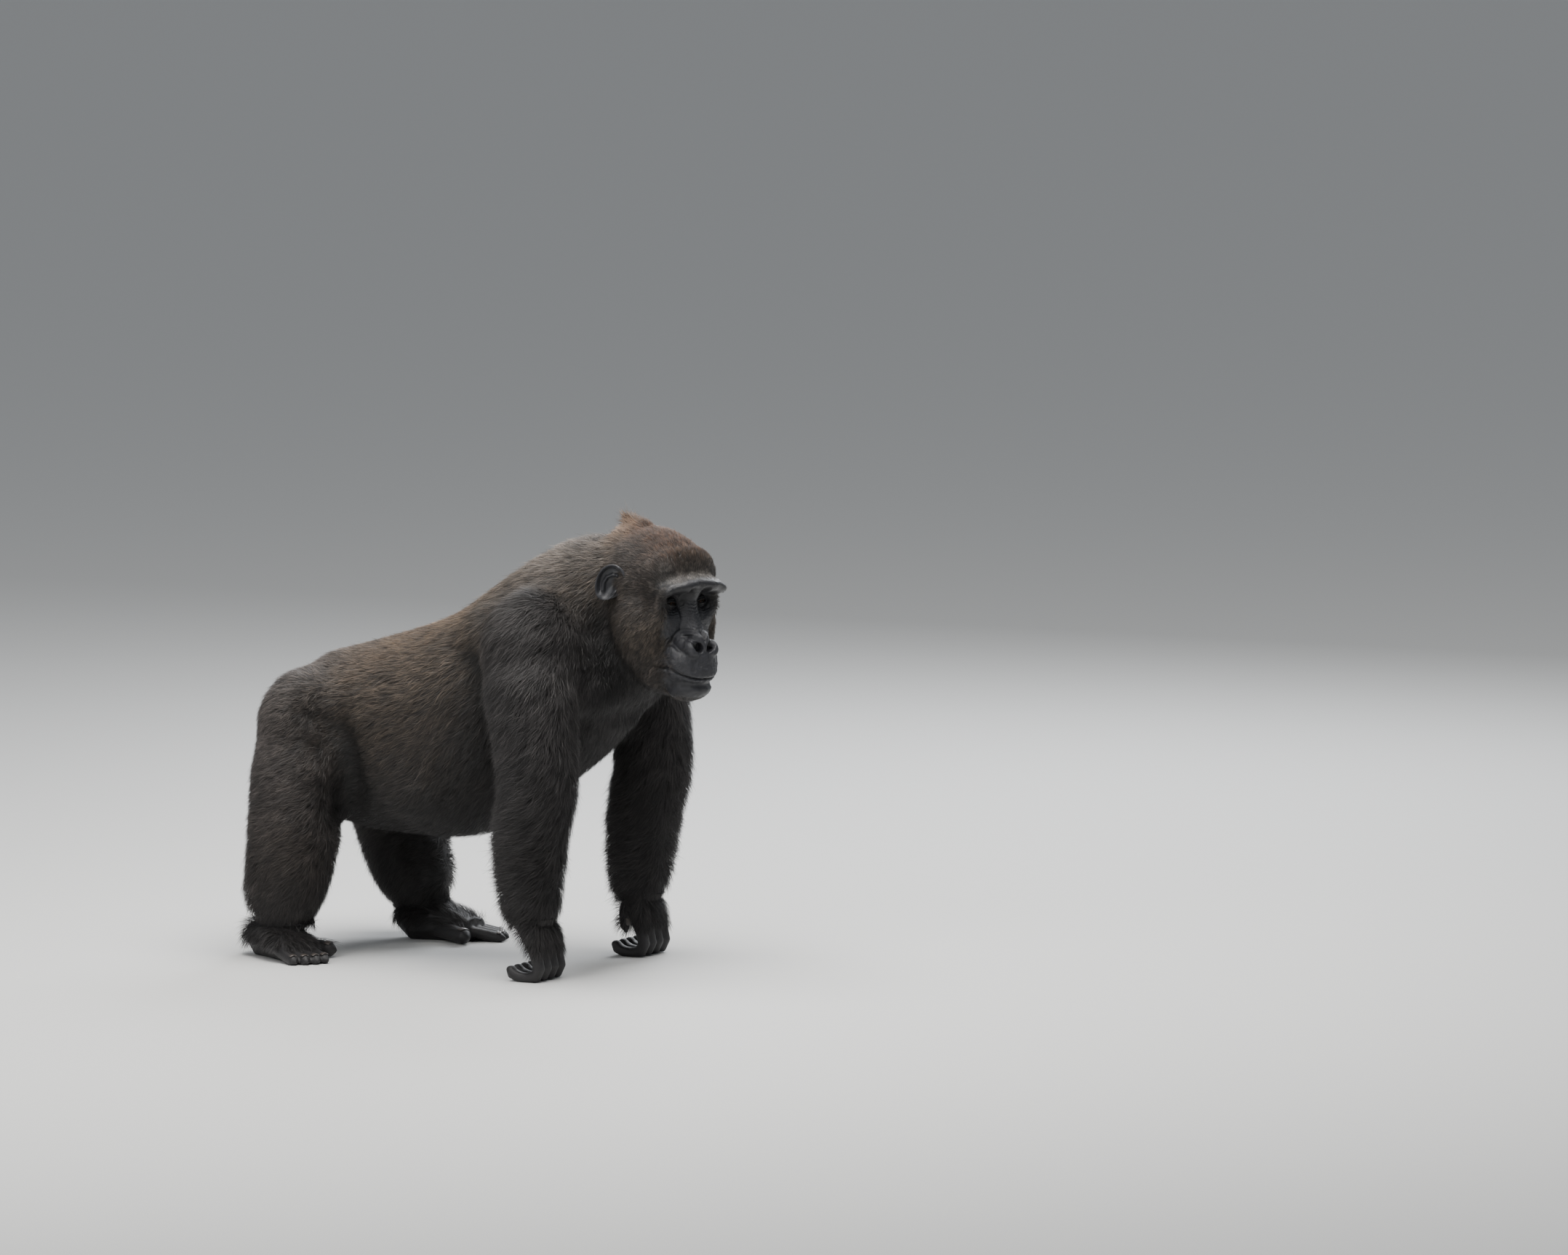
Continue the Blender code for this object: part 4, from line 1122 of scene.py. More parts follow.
    def on_edges(self, places: Array) -> Array:
        """Whether places are on the lids, the nostrils or the line between the lips.

        Args:
            places: world rows.

        Returns:
            True or False for each row.
        """
        _, side, z = self.head.local(places).T
        out = np.abs(side)
        eye = np.hypot((out - self.face.eye_spread) / 1.1, z) < 13 * MM
        nostril = np.hypot(out - self.face.nostril_side, z - self.face.nostril_up) < 13.5 * MM
        mouth = (out < 0.064) & (np.abs(z - self.face.mouth_line(side)) < 4 * MM)
        return self.on_features(places) & (eye | nostril | mouth)

    def refined(self, shell: bpy.types.Mesh, test: Callable[[Array], Array]) -> bpy.types.Mesh:
        """Split in two every edge whose ends both pass a test.

        Args:
            shell: the mesh to refine.
            test: says of each place whether it is chosen.

        Returns:
            A finer mesh.
        """
        chosen = test(read(shell))
        cut = bmesh.new()
        cut.from_mesh(shell)
        marked = chosen[edges_of(shell)].all(axis=1)
        cut.edges.ensure_lookup_table()
        edges = [cut.edges[i] for i in np.flatnonzero(marked)]
        bmesh.ops.subdivide_edges(cut, edges=edges, cuts=1, use_grid_fill=True)
        finer = bpy.data.meshes.new("shell")
        cut.to_mesh(finer)
        cut.free()
        return finer

    def end_shell(self, kind: str, side: str) -> bpy.types.Mesh:
        """A hand or a foot with its digits, whose upper end dips under the body's surface.

        Args:
            kind: hand or foot.
            side: right or left.

        Returns:
            The shell.
        """
        digits = FINGERS if kind == "hand" else TOES
        flesh = merged_nodes([f"{kind}_{side}", *(f"{name}_{side}" for name in digits)], self.end_swell)
        fine = {"mode": "VOXEL", "voxel_size": self.end_cell}
        shell = with_modifiers(flesh, ("REMESH", fine))
        softened = relax(read(shell), edges_of(shell), self.end_rounds, regain=0.0)
        write(shell, self.blunt(softened) if kind == "hand" else softened)
        shell = with_modifiers(shell, ("DECIMATE", {"ratio": self.end_share}))
        places = read(shell)
        z = places[:, 2]
        if kind == "hand":
            depth = 4 * MM * ease(0.060, 0.110, z) + 16 * MM * ease(0.100, 0.136, z)
        else:
            depth = 4 * MM * ease(0.034, 0.066, z) + 14 * MM * ease(0.056, 0.088, z)
        places = places - read(shell, "normal") * (depth + self.end_swell)[:, None]
        places[:, 2] = np.maximum(places[:, 2], 0.2 * MM)
        write(shell, places)
        return shell

    def blunt(self, places: Array) -> Array:
        """Round off the curled fingertips: a height h over their last joint becomes r tanh(h / r).

        Args:
            places: vertex rows of a hand.

        Returns:
            The moved rows.
        """
        curled = (places[:, 0] < self.tips_front) & (places[:, 2] < self.palm_low)
        above = np.maximum(places[:, 2] - self.tip_start, 0)
        drop = above - self.tip_round * np.tanh(above / self.tip_round)
        return places - np.outer(curled * drop, (0, 0, 1))

    def colours(self, places: Array) -> Array:
        """Colour of the hide: the coat's root colours under hair, slate black where it is bare.

        Args:
            places: vertex rows.

        Returns:
            One colour row for each vertex.
        """
        coat = self.lie.at(places)
        haired = self.root_share * coat["root"] + self.tip_share * coat["tip"]
        bare = self.face.bare(places)[:, None]
        end = ease(0.085, 0.050, places[:, 2])[:, None]
        colours = haired * (1 - bare) + BARE_HIDE * bare
        colours = colours * (1 - end) + SOLE_HIDE * end
        mottle = 1 + 0.16 * noise(places, 7 * MM, 21) + 0.12 * noise(places, 2.4 * MM, 22)
        # the face then takes painted shade and painted highlights
        return self.face.shade(places, colours * mottle[:, None])


# ---------------------------------------------------------------- finishes
def new_material(name: str, values: dict) -> tuple[bpy.types.Material, bpy.types.Node]:
    """A material with a Principled shader.

    Args:
        name: name of the material.
        values: values of the shader's sockets.

    Returns:
        The material and its shader.
    """
    material = bpy.data.materials.new(name)
    material.use_nodes = True
    shader = material.node_tree.nodes["Principled BSDF"]
    fill(shader, values)
    return material, shader


def tinted_material(name: str, values: dict) -> tuple[bpy.types.Material, bpy.types.Node]:
    """A material whose colour is the one carried by each vertex.

    Args:
        name: name of the material.
        values: values of the shader's sockets.

    Returns:
        The material and its shader.
    """
    material, shader = new_material(name, values)
    tint = new_node(material.node_tree, "Attribute")
    tint.attribute_name = TINT
    material.node_tree.links.new(tint.outputs["Color"], shader.inputs["Base Color"])
    return material, shader


def new_node(tree: bpy.types.NodeTree, kind: str, values: dict | None = None) -> bpy.types.Node:
    """A new shader node with values in its sockets.

    Args:
        tree: the nodes that it joins.
        kind: its type, without the word that all of them start with.
        values: values of its sockets, by name or number.

    Returns:
        The node.
    """
    node = tree.nodes.new(f"ShaderNode{kind}")
    fill(node, values or {})
    return node


def fill(node: bpy.types.Node, values: dict) -> None:
    """Set the values of a node's sockets, by name or number."""
    for socket, value in values.items():
        node.inputs[socket].default_value = value


def pebble_group() -> bpy.types.NodeTree:
    """Leather grain, built once: the height of small cells with fine noise over them.

    Returns:
        The group, with Cell in and Height out.
    """
    found = bpy.data.node_groups.get("pebble")
    if found:
        return found
    group = bpy.data.node_groups.new("pebble", "ShaderNodeTree")
    group.interface.new_socket("Cell", in_out="INPUT", socket_type="NodeSocketFloat")
    group.interface.new_socket("Height", in_out="OUTPUT", socket_type="NodeSocketFloat")
    start, end = group.nodes.new("NodeGroupInput"), group.nodes.new("NodeGroupOutput")
    coordinates = new_node(group, "TexCoord")
    cells = new_node(group, "TexVoronoi")
    cells.feature = "DISTANCE_TO_EDGE"
    fine = new_node(group, "TexNoise", {"Detail": 3.0, "Scale": 700.0})
    steep = new_node(group, "Math", {1: 1.6})
    steep.operation = "MULTIPLY"
    both = new_node(group, "Math")
    both.operation = "ADD"
    for source, target in (
        (coordinates.outputs["Object"], cells.inputs["Vector"]),
        (coordinates.outputs["Object"], fine.inputs["Vector"]),
        (start.outputs["Cell"], cells.inputs["Scale"]),
        (cells.outputs["Distance"], steep.inputs[0]),
        (steep.outputs[0], both.inputs[0]),
        (fine.outputs["Fac"], both.inputs[1]),
        (both.outputs[0], end.inputs["Height"]),
    ):
        group.links.new(source, target)
    return group


@dataclass(frozen=True)
class Leather:
    """Black leathery skin with a fine grain and a soft shine."""

    name: str
    roughness: float
    bump: float
    sheen: float = 0.08
    cell: float = 420.0
    grain: float = 0.5 * MM
    specular: float = 0.40

    def material(self) -> bpy.types.Material:
        """Make the finish.

        Returns:
            The material.
        """
        shine = {"Roughness": self.roughness, "Specular IOR Level": self.specular}
        material, shader = tinted_material(self.name, {**shine, "Sheen Weight": self.sheen})
        tree = material.node_tree
        grain = new_node(tree, "Group")
        grain.node_tree = pebble_group()
        fill(grain, {"Cell": self.cell})
        bump = new_node(tree, "Bump", {"Strength": self.bump, "Distance": self.grain})
        tree.links.new(grain.outputs["Height"], bump.inputs["Height"])
        tree.links.new(bump.outputs["Normal"], shader.inputs["Normal"])
        return material


@dataclass(frozen=True)
class HairFinish:
    """Dry hair: the colour of each strand, with a dull sheen along it."""

    name: str
    roughness: float = 0.58
    specular: float = 0.36
    sheen: float = 0.04

    def material(self) -> bpy.types.Material:
        """Make the finish."""
        shine = {"Roughness": self.roughness, "Specular IOR Level": self.specular}
        return tinted_material(self.name, {**shine, "Sheen Weight": self.sheen})[0]


@dataclass(frozen=True)
class Gloss:
    """A smooth finish that takes its colour from the vertices: wet eyes and horn."""

    name: str
    roughness: float
    coat: float
    specular: float = 0.5
    coat_roughness: float = 0.03

    def material(self) -> bpy.types.Material:
        """Make the finish.

        Returns:
            The material.
        """
        shine = {"Roughness": self.roughness, "Specular IOR Level": self.specular}
        varnish = {"Coat Weight": self.coat, "Coat Roughness": self.coat_roughness}
        return tinted_material(self.name, {**shine, **varnish})[0]


# ---------------------------------------------------------------- eyes
IRIS = np.array((0.017, 0.0080, 0.0038))
EYE_WHITE = np.array((0.006, 0.0042, 0.0036))
PUPIL = 0.002


@dataclass(frozen=True)
class Eye:
    """One eyeball with a raised clear front, a brown iris and a black pupil."""

    head: HeadFrame
    side: str
    columns: int = 48
    rows: int = 40
    iris: float = 6.4 * MM
    pupil: float = 2.4 * MM
    bulge: float = 0.9 * MM
    gaze: tuple[float, float] = (0.0, -4.0)

    def build(self) -> bpy.types.Object:
        """Make the eyeball and dress it.

        A sphere by angle from the line of sight and angle round it, raised over the iris by the
        bulge times a smooth step, and coloured by distance from the line of sight.

        Returns:
            The eyeball, riding on the frame and standing for its eye.
        """
        low, high = (np.array(corner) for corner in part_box(f"eye_{self.side}"))
        centre, radius = (low + high) / 2, (high[2] - low[2]) / 2
        away = np.linspace(0, math.pi, self.rows)[:, None]
        round_it = np.linspace(0, 2 * math.pi, self.columns, endpoint=False)[None]
        reach = radius * np.sin(away)
        over = radius + self.bulge * ease(self.iris * 1.15, 0.0, reach) * (np.cos(away) > 0) - self.bulge
        ball = np.stack(
            [
                over * np.cos(away) + 0 * round_it,
                over * np.sin(away) * np.cos(round_it),
                over * np.sin(away) * np.sin(round_it),
            ],
            axis=-1,
        )
        yaw, pitch = (math.radians(angle) for angle in self.gaze)
        look = np.array(Matrix.Rotation(yaw, 3, "Z") @ Matrix.Rotation(-pitch, 3, "Y"))
        places = (ball.reshape(-1, 3) @ look.T) @ self.head.turn.T + centre
        faces = grid_faces(self.rows, self.columns, around=True)[:, ::-1]
        mesh = mesh_of(f"eyeball_{self.side}", places, faces)
        reach, turn = np.broadcast_arrays(reach, round_it)
        paint(mesh, self.colours(reach.ravel(), turn.ravel()))
        mesh.materials.append(Gloss("wet_eye", 0.08, 0.0, 0.11).material())
        eyeball = place_in_scene(f"eyeball_{self.side}", mesh)
        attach(eyeball, "root")
        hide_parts(f"eye_{self.side}")
        return eyeball

    def colours(self, reach: Array, turn: Array) -> Array:
        """Black pupil, rayed brown iris, dark rim, and a dark brown white of the eye.

        Args:
            reach: distance from the line of sight.
            turn: angle round it.

        Returns:
            A colour for each.
        """
        rays = 1 + 0.25 * np.sin(19 * turn) + 0.15 * np.sin(31 * turn + 1)
        iris = IRIS * rays[:, None]
        rim = ease(self.iris * 0.86, self.iris, reach)[:, None]
        hole = ease(self.pupil * 1.15, self.pupil * 0.9, reach)[:, None]
        beyond = ease(self.iris, self.iris * 1.15, reach)[:, None]
        colours = iris * (1 - 0.85 * rim) * (1 - hole) + PUPIL * hole
        return colours * (1 - beyond) + EYE_WHITE * beyond


# ---------------------------------------------------------------- ears
@dataclass(frozen=True)
class Ear:
    """One naked ear: a cup with a rolled rim, an inner ridge, a deep shell and a lobe."""

    head: HeadFrame
    side: str
    place: tuple[float, float, float] = (-0.110, 0.104, 0.0345)
    lean: float = math.radians(36)
    breadth: float = 56 * MM
    height: float = 75 * MM
    swing: float = math.radians(32)
    cup: float = 10 * MM
    thick: float = 3.2 * MM
    spokes: int = 96
    rings: int = 40

    def build(self) -> bpy.types.Object:
        """Make the ear from two faces joined round its edge.

        Each face is a grid of angle and share of the radius. The front one is the relief, and the
        hind one follows it behind by the thickness, thinner towards the edge.

        Returns:
            The ear, riding on the frame and standing for its node.
        """
        hand = -1 if self.side == "right" else 1
        back = self.head.way((-math.cos(self.swing), hand * math.sin(self.swing), 0))
        upward = np.array((0.0, 0.0, 1.0))
        front = np.cross(back, upward) * hand
        c, s = math.cos(self.lean), math.sin(self.lean)
        back, upward = back * c + upward * s, upward * c - back * s
        centre = self.head.world((self.place[0], hand * self.place[1], self.place[2]))
        share = np.linspace(0.0, 1.0, self.rings)[:, None] ** 0.85
        angle = np.linspace(0, 2 * math.pi, self.spokes, endpoint=False)[None]
        across = share * np.cos(angle) * (1 + 0.16 * np.sin(angle))
        above = share * np.sin(angle) + 0 * share
        relief = self.relief(share + 0 * angle, across, above)
        edge = np.sqrt(np.clip(1 - share**8, 0.04, 1)) + 0 * angle
        layers = []
        for behind in (0, 1):
            out = relief * (1 - 0.55 * behind) - behind * (self.thick * edge + 2 * MM * (1 - share))
            rows = (
                back * (0.5 * self.breadth * across)[..., None]
                + upward * (0.5 * self.height * above)[..., None]
                + front * out[..., None]
            )
            layers.append(rows.reshape(-1, 3) + centre)
        faces = grid_faces(self.rings, self.spokes, around=True)
        count = self.rings * self.spokes
        last = np.arange(self.spokes) + (self.rings - 1) * self.spokes
        following = np.roll(last, -1)
        rim = np.stack([last, following, following + count, last + count], axis=1)
        if hand > 0:
            faces, rim = faces[:, ::-1], rim[:, ::-1]
        mesh = mesh_of(f"ear_cup_{self.side}", np.vstack(layers), faces, faces[:, ::-1] + count, rim)
        places = read(mesh)
        colours = BARE_HIDE * (1 + 0.25 * noise(places, 6 * MM, 31))[:, None]
        # painted shade: the colour falls in the ear's hollows and rises a little on its ridges
        deep = ease(-3 * MM, -13 * MM, np.concatenate([relief.ravel(), np.zeros(count)]))
        paint(mesh, colours * (1.15 - 1.0 * deep)[:, None])
        mesh.materials.append(Leather(f"ear_skin_{self.side}", roughness=0.42, bump=0.35).material())
        ear = place_in_scene(f"ear_cup_{self.side}", mesh)
        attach(ear, "root")
        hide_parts(f"ear_{self.side}")
        return ear

    def relief(self, share: Array, across: Array, above: Array) -> Array:
        """Height of the ear's front face over the plane of its edge.

        A bowl, with a rolled rim, a pocket inside it, the inner ridge that rises from the lobe and
        bends forward under the rim, its short fork, the deep shell and the peg at the front edge.
        The front edge turns in towards the head.

        Args:
            share: share of the radius.
            across: place towards the back, as a share of half the breadth.
            above: place upwards, as a share of half the height.

        Returns:
            A height for each place.
        """
        spots = np.stack([across.ravel(), above.ravel()], axis=1)

        def ridge(path: Sequence[Sequence[float]], width: float) -> Array:
            """A bell of the distance to a path over the face of the ear."""
            return bell(path_distance(spots, path), 0, width).reshape(share.shape)

        behind = ease(-0.85, 0.10, across + 0.9 * above)
        bowl = -self.cup * (1 - share**2.4)
        rim = 3.6 * MM * bell(share, 0.92, 0.085) * (0.35 + 0.65 * behind)
        top = 2.6 * MM * ridge(((0.10, 0.90), (-0.45, 0.76)), 0.15)
        pocket = -3.8 * MM * bell(share, 0.72, 0.10) * behind
        bend = ((0.12, -0.55), (0.38, -0.22), (0.40, 0.10), (0.20, 0.36), (-0.12, 0.50))
        inner = 6.4 * MM * ridge(bend, 0.115)
        fork = 3.0 * MM * ridge(((-0.12, 0.50), (-0.55, 0.44)), 0.12)
        shell = -7.0 * MM * bell(np.hypot(across + 0.16, (above + 0.02) / 1.25), 0, 0.33)
        peg = 5.0 * MM * bell(np.hypot(across + 0.66, above + 0.26), 0, 0.16)
        lobe = 2.2 * MM * bell(np.hypot(across - 0.05, above + 0.82), 0, 0.22)
        root = -15 * MM * ease(-0.62, -1.0, across)
        return bowl + rim + top + pocket + inner + fork + shell + peg + lobe + root


# ---------------------------------------------------------------- nails
@dataclass(frozen=True)
class Nails:
    """The nails of thumbs and toes, rounded from the frame's plates."""

    rounding: int = 2
    swell: float = 0.25 * MM
    tone: tuple[float, float, float] = (0.050, 0.041, 0.036)

    def build(self) -> bpy.types.Object:
        """Make all the nails as one piece: merged copies, rounded by subdivision.

        Returns:
            The nails, riding on the frame and standing for their nodes.
        """
        nodes = [f"nail_{name}_{side}" for side in SIDES for name in ("thumb", *TOES)]
        plates = merged_nodes(nodes, self.swell)
        levels = {"levels": self.rounding, "render_levels": self.rounding}
        mesh = with_modifiers(plates, ("SUBSURF", levels))
        mesh.shade_smooth()
        places = read(mesh)
        streak = 1 + 0.25 * noise(places * (1.0, 1.0, 0.3), 2 * MM, 51)
        paint(mesh, np.array(self.tone) * streak[:, None])
        mesh.materials.clear()
        mesh.materials.append(Gloss("horn", 0.38, 0.25).material())
        nails = place_in_scene("nails", mesh)
        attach(nails, "root")
        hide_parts(*nodes)
        return nails


# ---------------------------------------------------------------- the coat
@dataclass
class Coat:
    """The hair, grown from the hide in pieces of thin tapered blades that lie along the body.

    Fields named _spread hold the least share of a hair's size, and how much chance adds to it.
    """

    hide: bpy.types.Object
    face: Face
    lie: Lie
    share: float = 1.0
    patch: float = 0.003
    clump: float = 9 * MM
    sunk: float = 1.2 * MM
    ground: float = 0.4 * MM
    strays: float = 0.03
    most_pull: float = 0.55
    steps: tuple[float, float, float] = (0.0, 0.45, 1.0)
    length_spread: tuple[float, float] = (0.68, 0.55)
    depth_spread: tuple[float, float] = (0.62, 0.55)
    width_spread: tuple[float, float] = (0.75, 0.5)
    lock_spread: tuple[float, float] = (0.62, 0.75)
    tip_spread: tuple[float, float] = (0.38, 1.38)
    root_spread: tuple[float, float] = (0.8, 0.4)
    swirl: float = 0.30
    fine_swirl: float = 0.26
    jitter: float = 0.16
    roll: float = 0.45
    curl: float = 0.14
    streak: float = 0.82

    def build(self) -> list[bpy.types.Object]:
        """Grow every piece of the coat.

        Returns:
            The pieces, riding on the frame.
        """
        mesh = self.hide.data
        corners = triangles(mesh)
        surface = {
            "places": read(mesh)[corners],
            "normals": read(mesh, "normal")[corners],
            "uv": pulled(mesh.uv_layers[COAT_UV].data, "uv", 2)[triangles(mesh, "loops")],
        }
        first, second, third = surface["places"].transpose(1, 0, 2)
        centres = surface["places"].mean(axis=1)
        coat = self.lie.at(centres)
        area = np.linalg.norm(np.cross(second - first, third - first), axis=1) / 2
        share = pulled(mesh.attributes[GROWS].data, "value", 1).ravel()[corners].mean(axis=1)
        haired = self.haired(centres, surface["normals"].mean(axis=1))
        wish = area * share * haired / (coat["length"] * coat["width"])
        finish = HairFinish("hair").material()
        made = []
        for number, part in enumerate(Part):
            odds = np.where(coat["part"] == number, wish, 0.0)
            made.append(self.grow(part, surface, odds / odds.sum(), finish))
        return made

    def haired(self, places: Array, normals: Array) -> Array:
        """How densely the hide is haired.

        It is thin over the bare face, and below wrists and ankles it is on the backs of hands and
        feet only, down to the roots of the digits.

        Args:
            places: rows on the hide.
            normals: the hide's normals there.

        Returns:
            A share for each row, up to 1.
        """
        bare = self.face.bare(places)
        upper = limb_step(places, (0.108, 0.124), (0.060, 0.078))
        hand_back, foot_top = ease(-0.65, -0.05, normals[:, 0]), ease(-0.45, 0.10, normals[:, 2])
        back = np.where(places[:, 0] > 0, hand_back, foot_top)
        above_digits = limb_step(places, (0.046, 0.074), (0.024, 0.044))
        return above_digits * (upper + (1 - upper) * back) * (0.015 + (1 - bare) ** 1.3)

    def grow(
        self, part: Part, surface: dict[str, Array], odds: Array, finish: bpy.types.Material
    ) -> bpy.types.Object:
        """Grow one piece of the coat.

        Each hair is a blade of two widths and a tip. Its path leaves the hide and bends over to lie
        along it: forward by the length, up by the depth times 1 - (1 - s) squared, towards the
        middle of its lock by s squared, where s is the share of the way to the tip.

        Args:
            part: the piece.
            surface: corners, normals and map places of the hide's triangles.
            odds: chance of a hair on each triangle.
            finish: the hair's material.

        Returns:
            The piece.
        """
        name, hairs = part.value
        random = np.random.default_rng(SEED + hairs)
        hairs = max(200, int(hairs * self.share))
        chosen = random.choice(len(odds), hairs, p=odds)
        a, b = random.random((2, hairs))
        a, b = np.where(a + b > 1, 1 - a, a), np.where(a + b > 1, 1 - b, b)
        mix = np.stack([1 - a - b, a, b], axis=1)[:, :, None]
        roots = (surface["places"][chosen] * mix).sum(axis=1)
        normals = unit((surface["normals"][chosen] * mix).sum(axis=1))
        uv = (surface["uv"][chosen] * mix).sum(axis=1)
        coat = self.lie.at(roots)
        bare = self.face.bare(roots)
        stray = random.random(hairs) < self.strays
        longer, deeper = (
            low + more * random.random(hairs) for low, more in (self.length_spread, self.depth_spread)
        )
        length = coat["length"] * longer * (1 - 0.45 * bare) * (1 + 0.15 * stray)
        depth = coat["depth"] * deeper * (1 - 0.6 * bare) * (1 + 0.5 * stray)
        swirl = np.stack([noise(roots, 26 * MM, 61 + k) for k in range(3)], axis=1)
        fine = np.stack([noise(roots, 8 * MM, 71 + k) for k in range(3)], axis=1)
        way = coat["lie"] + self.swirl * swirl + self.fine_swirl * fine
        way = way + self.jitter * random.normal(size=(hairs, 3))
        way = unit(way - normals * (way * normals).sum(axis=1, keepdims=True))
        centres, mark = nearest_centres(roots, self.clump, 81)
        pull = centres - roots
        pull = pull - normals * (pull * normals).sum(axis=1, keepdims=True)
        pull = pull * np.minimum(self.most_pull, 0.35 * length / self.clump)[:, None]
        roll = random.normal(0, self.roll, hairs)[:, None]
        flat = unit(np.cross(way, normals) * np.cos(roll) + normals * np.sin(roll))
        bend = np.cross(way, normals) * (random.normal(0, self.curl, hairs) * length)[:, None]
        down = np.array((0, 0, -1.0)) * (0.9 * length**2 / 0.11)[:, None]
        levels = []
        for s in self.steps:
            rise = depth * (1 - (1 - s) ** 2) - self.sunk * (1 - s)
            straight = roots + way * (length * s)[:, None] + normals * rise[:, None]
            levels.append(straight + (pull + bend) * s**2 + 0.1 * down * s**2)
        thin, more = self.width_spread
        half = (coat["width"] * (thin + more * random.random(hairs)) / 2)[:, None] * flat
        root, middle, tip = levels
        corners = [root - half, root + half, middle - 0.8 * half, middle + 0.8 * half, tip]
        blade = np.stack(corners, axis=1)
        blade[:, :, 2] = np.maximum(blade[:, :, 2], self.ground)
        first = 5 * np.arange(hairs)[:, None]
        mesh = mesh_of(name, blade.reshape(-1, 3), first + (0, 1, 3, 2), first + (2, 3, 4))
        paint(mesh, self.colours(coat, roots, mark, random).reshape(-1, 3))
        self.map_patches(mesh, uv)
        mesh.materials.append(finish)
        made = place_in_scene(name, mesh)
        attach(made, "root")
        return made

    def colours(
        self, coat: dict[str, Array], roots: Array, mark: Array, random: np.random.Generator
    ) -> Array:
        """Colours of each hair's five vertices: dark root to paler tip, varied by lock and by hair.

        Args:
            coat: the blended sites at the roots.
            roots: world rows.
            mark: number of each hair's lock, from 0 to 1.
            random: source of the chance in each hair.

        Returns:
            Five colour rows for each hair.
        """
        count = len(roots)
        lock = self.lock_spread[0] + self.lock_spread[1] * mark
        along = (roots * coat["lie"]).sum(axis=1, keepdims=True) * coat["lie"]
        streaked = roots - self.streak * along
        broad, narrow = 0.34 * noise(streaked, 15 * MM, 91), 0.30 * noise(streaked, 6 * MM, 92)
        wave = 1 + broad + narrow + 0.25 * noise(roots, 70 * MM, 93)
        pale = self.tip_spread[0] + self.tip_spread[1] * random.random(count) ** 2.3
        tip = coat["tip"] * (lock * np.maximum(wave, 0.25) * pale)[:, None]
        root = coat["root"] * (self.root_spread[0] + self.root_spread[1] * random.random(count))[:, None]
        middle = 0.55 * root + 0.45 * tip
        return np.stack([root, root, middle, middle, tip], axis=1)

    def map_patches(self, mesh: bpy.types.Mesh, uv: Array) -> None:
        """Give each hair a small patch of the map, at its root's place on the unwrapped hide.

        Args:
            mesh: the piece of coat.
            uv: place of each hair's root on the map.
        """
        across = np.array((0, 1, 0.1, 0.9, 0.5)) - 0.5
        along = np.array((0, 0, 0.45, 0.45, 1.0)) - 0.5
        spots = uv[:, None] + self.patch * np.stack([across, along], axis=1)
        corners = np.concatenate([spots[:, (0, 1, 3, 2)].reshape(-1, 2), spots[:, (2, 3, 4)].reshape(-1, 2)])
        layer = mesh.uv_layers.new(name=COAT_UV)
        layer.data.foreach_set("uv", corners.astype(np.float32).ravel())


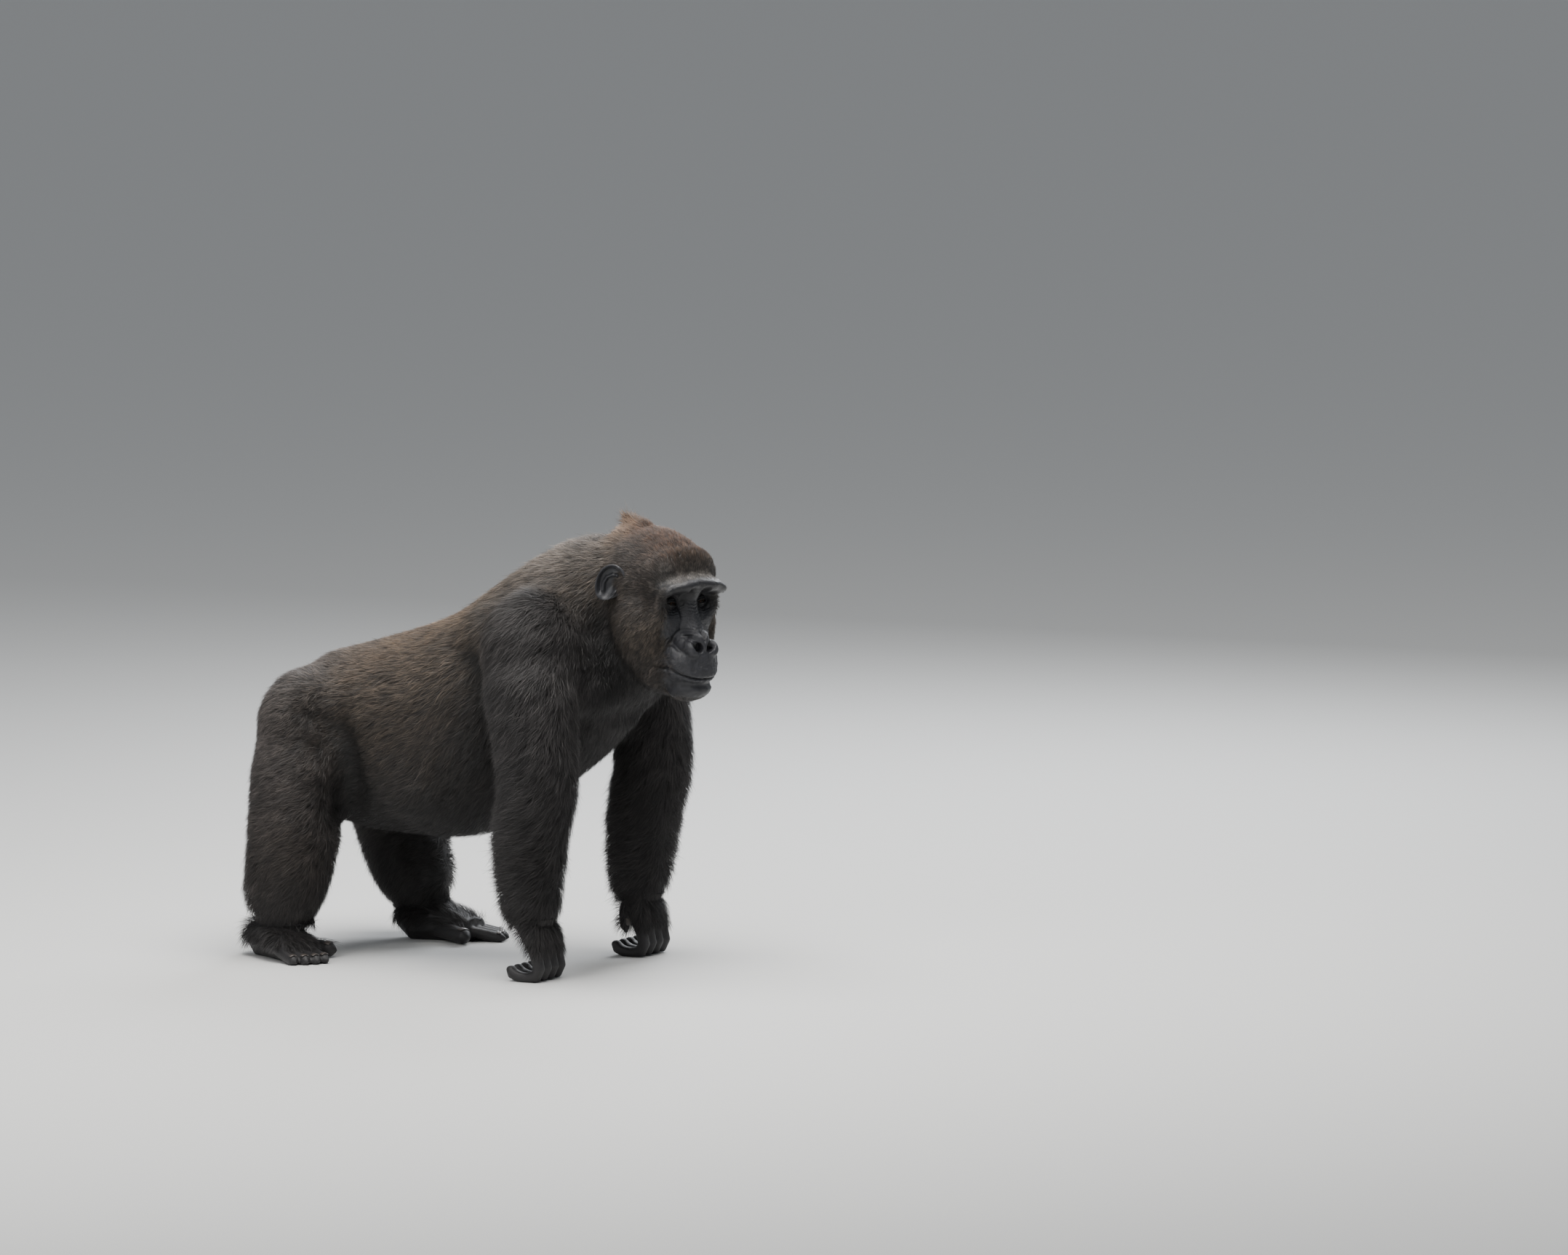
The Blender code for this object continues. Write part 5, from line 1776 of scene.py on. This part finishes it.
# ---------------------------------------------------------------- studio
@dataclass(frozen=True)
class Studio:
    """A pale floor, soft lights and the camera."""

    azimuth: float = math.radians(30)
    elevation: float = math.radians(7)
    aim: tuple[float, float] = (0.5236, 0.6401)
    breadth: float = 3.018
    distance: float = 30.0
    sensor: float = 36.0
    floor_reach: float = 160.0
    floor_tone: tuple[float, ...] = (0.58, 0.58, 0.57, 1.0)
    surround_tone: tuple[float, ...] = (0.86, 0.90, 0.95, 1.0)
    surround_strength: float = 0.40
    middle: tuple[float, float, float] = (0.0, 0.0, 0.5)

    def axes(self) -> tuple[Array, Array, Array]:
        """Right, up and towards the camera, as the camera sees them.

        Returns:
            Three directions in the world.
        """
        ca, sa = math.cos(self.azimuth), math.sin(self.azimuth)
        ce, se = math.cos(self.elevation), math.sin(self.elevation)
        right = np.array((ca, sa, 0.0))
        upward = np.array((-sa * se, ca * se, ce))
        return right, upward, np.array((sa * ce, -ca * ce, se))

    def build(self) -> None:
        """Set the stage."""
        self.floor()
        self.world()
        self.lights()
        self.camera()

    def floor(self) -> None:
        """A wide plain floor."""
        corners = self.floor_reach * np.array(((-1, -1, 0), (1, -1, 0), (1, 1, 0), (-1, 1, 0)), float)
        mesh = mesh_of("floor", corners, np.array([[0, 1, 2, 3]]))
        material, _ = new_material("floor", {"Base Color": self.floor_tone, "Roughness": 0.85})
        mesh.materials.append(material)
        place_in_scene("floor", mesh)

    def world(self) -> None:
        """An even pale surround."""
        world = bpy.data.worlds.new("surround")
        world.use_nodes = True
        shade = world.node_tree.nodes["Background"]
        fill(shade, {"Color": self.surround_tone, "Strength": self.surround_strength})
        bpy.context.scene.world = world

    def lights(self) -> None:
        """A broad soft light overhead, a weaker one beside the camera and one behind."""
        right, upward, toward = self.axes()
        middle = np.array(self.middle)
        overhead = middle + np.array((0.3, -0.4, 3.2))
        beside = middle + 3.4 * toward - 2.2 * right + 1.6 * upward
        behind = middle - 3.0 * toward + 1.4 * right + 2.6 * upward
        for name, place, values in (
            ("overhead", overhead, {"size": 3.0, "energy": 300.0, "color": (1.0, 0.98, 0.95)}),
            ("beside", beside, {"size": 2.0, "energy": 70.0, "color": (1.0, 0.99, 0.97)}),
            ("behind", behind, {"size": 2.0, "energy": 150.0, "color": (0.93, 0.96, 1.0)}),
        ):
            light = bpy.data.lights.new(name, "AREA")
            adjust(light, values)
            lamp = bpy.data.objects.new(name, light)
            lamp.location = place
            lamp.rotation_euler = Vector(place - middle).to_track_quat("Z", "Y").to_euler()
            bpy.context.scene.collection.objects.link(lamp)

    def camera(self) -> None:
        """The camera, aimed so that the frame is as wide as the breadth at the animal."""
        right, upward, toward = self.axes()
        target = right * self.aim[0] + upward * self.aim[1]
        lens = bpy.data.cameras.new("camera")
        lens.sensor_width = self.sensor
        lens.lens = self.sensor * self.distance / self.breadth
        lens.clip_end = 200.0
        camera = bpy.data.objects.new("camera", lens)
        turn = np.eye(4)
        turn[:3] = np.stack([right, upward, toward, target + toward * self.distance], axis=1)
        camera.matrix_world = Matrix(turn.tolist())
        bpy.context.scene.collection.objects.link(camera)
        bpy.context.scene.camera = camera


def report(piece: bpy.types.Object) -> None:
    """Say what was built."""
    log.info("%s: %d faces", piece.name, len(piece.data.polygons))


def main() -> None:
    """Build every piece in order and report it."""
    logging.basicConfig(level=logging.INFO, format="%(message)s")
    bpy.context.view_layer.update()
    head = HeadFrame.from_eyes()
    face = Face(head)
    lie = Lie(head)
    hide = Hide(head, face, lie).build()
    report(hide)
    for side in SIDES:
        report(Eye(head, side).build())
        report(Ear(head, side).build())
    report(Nails().build())
    share = 1.0
    for piece in Coat(hide, face, lie, share=share).build():
        report(piece)
    Studio().build()


if __name__ == "__main__":
    main()
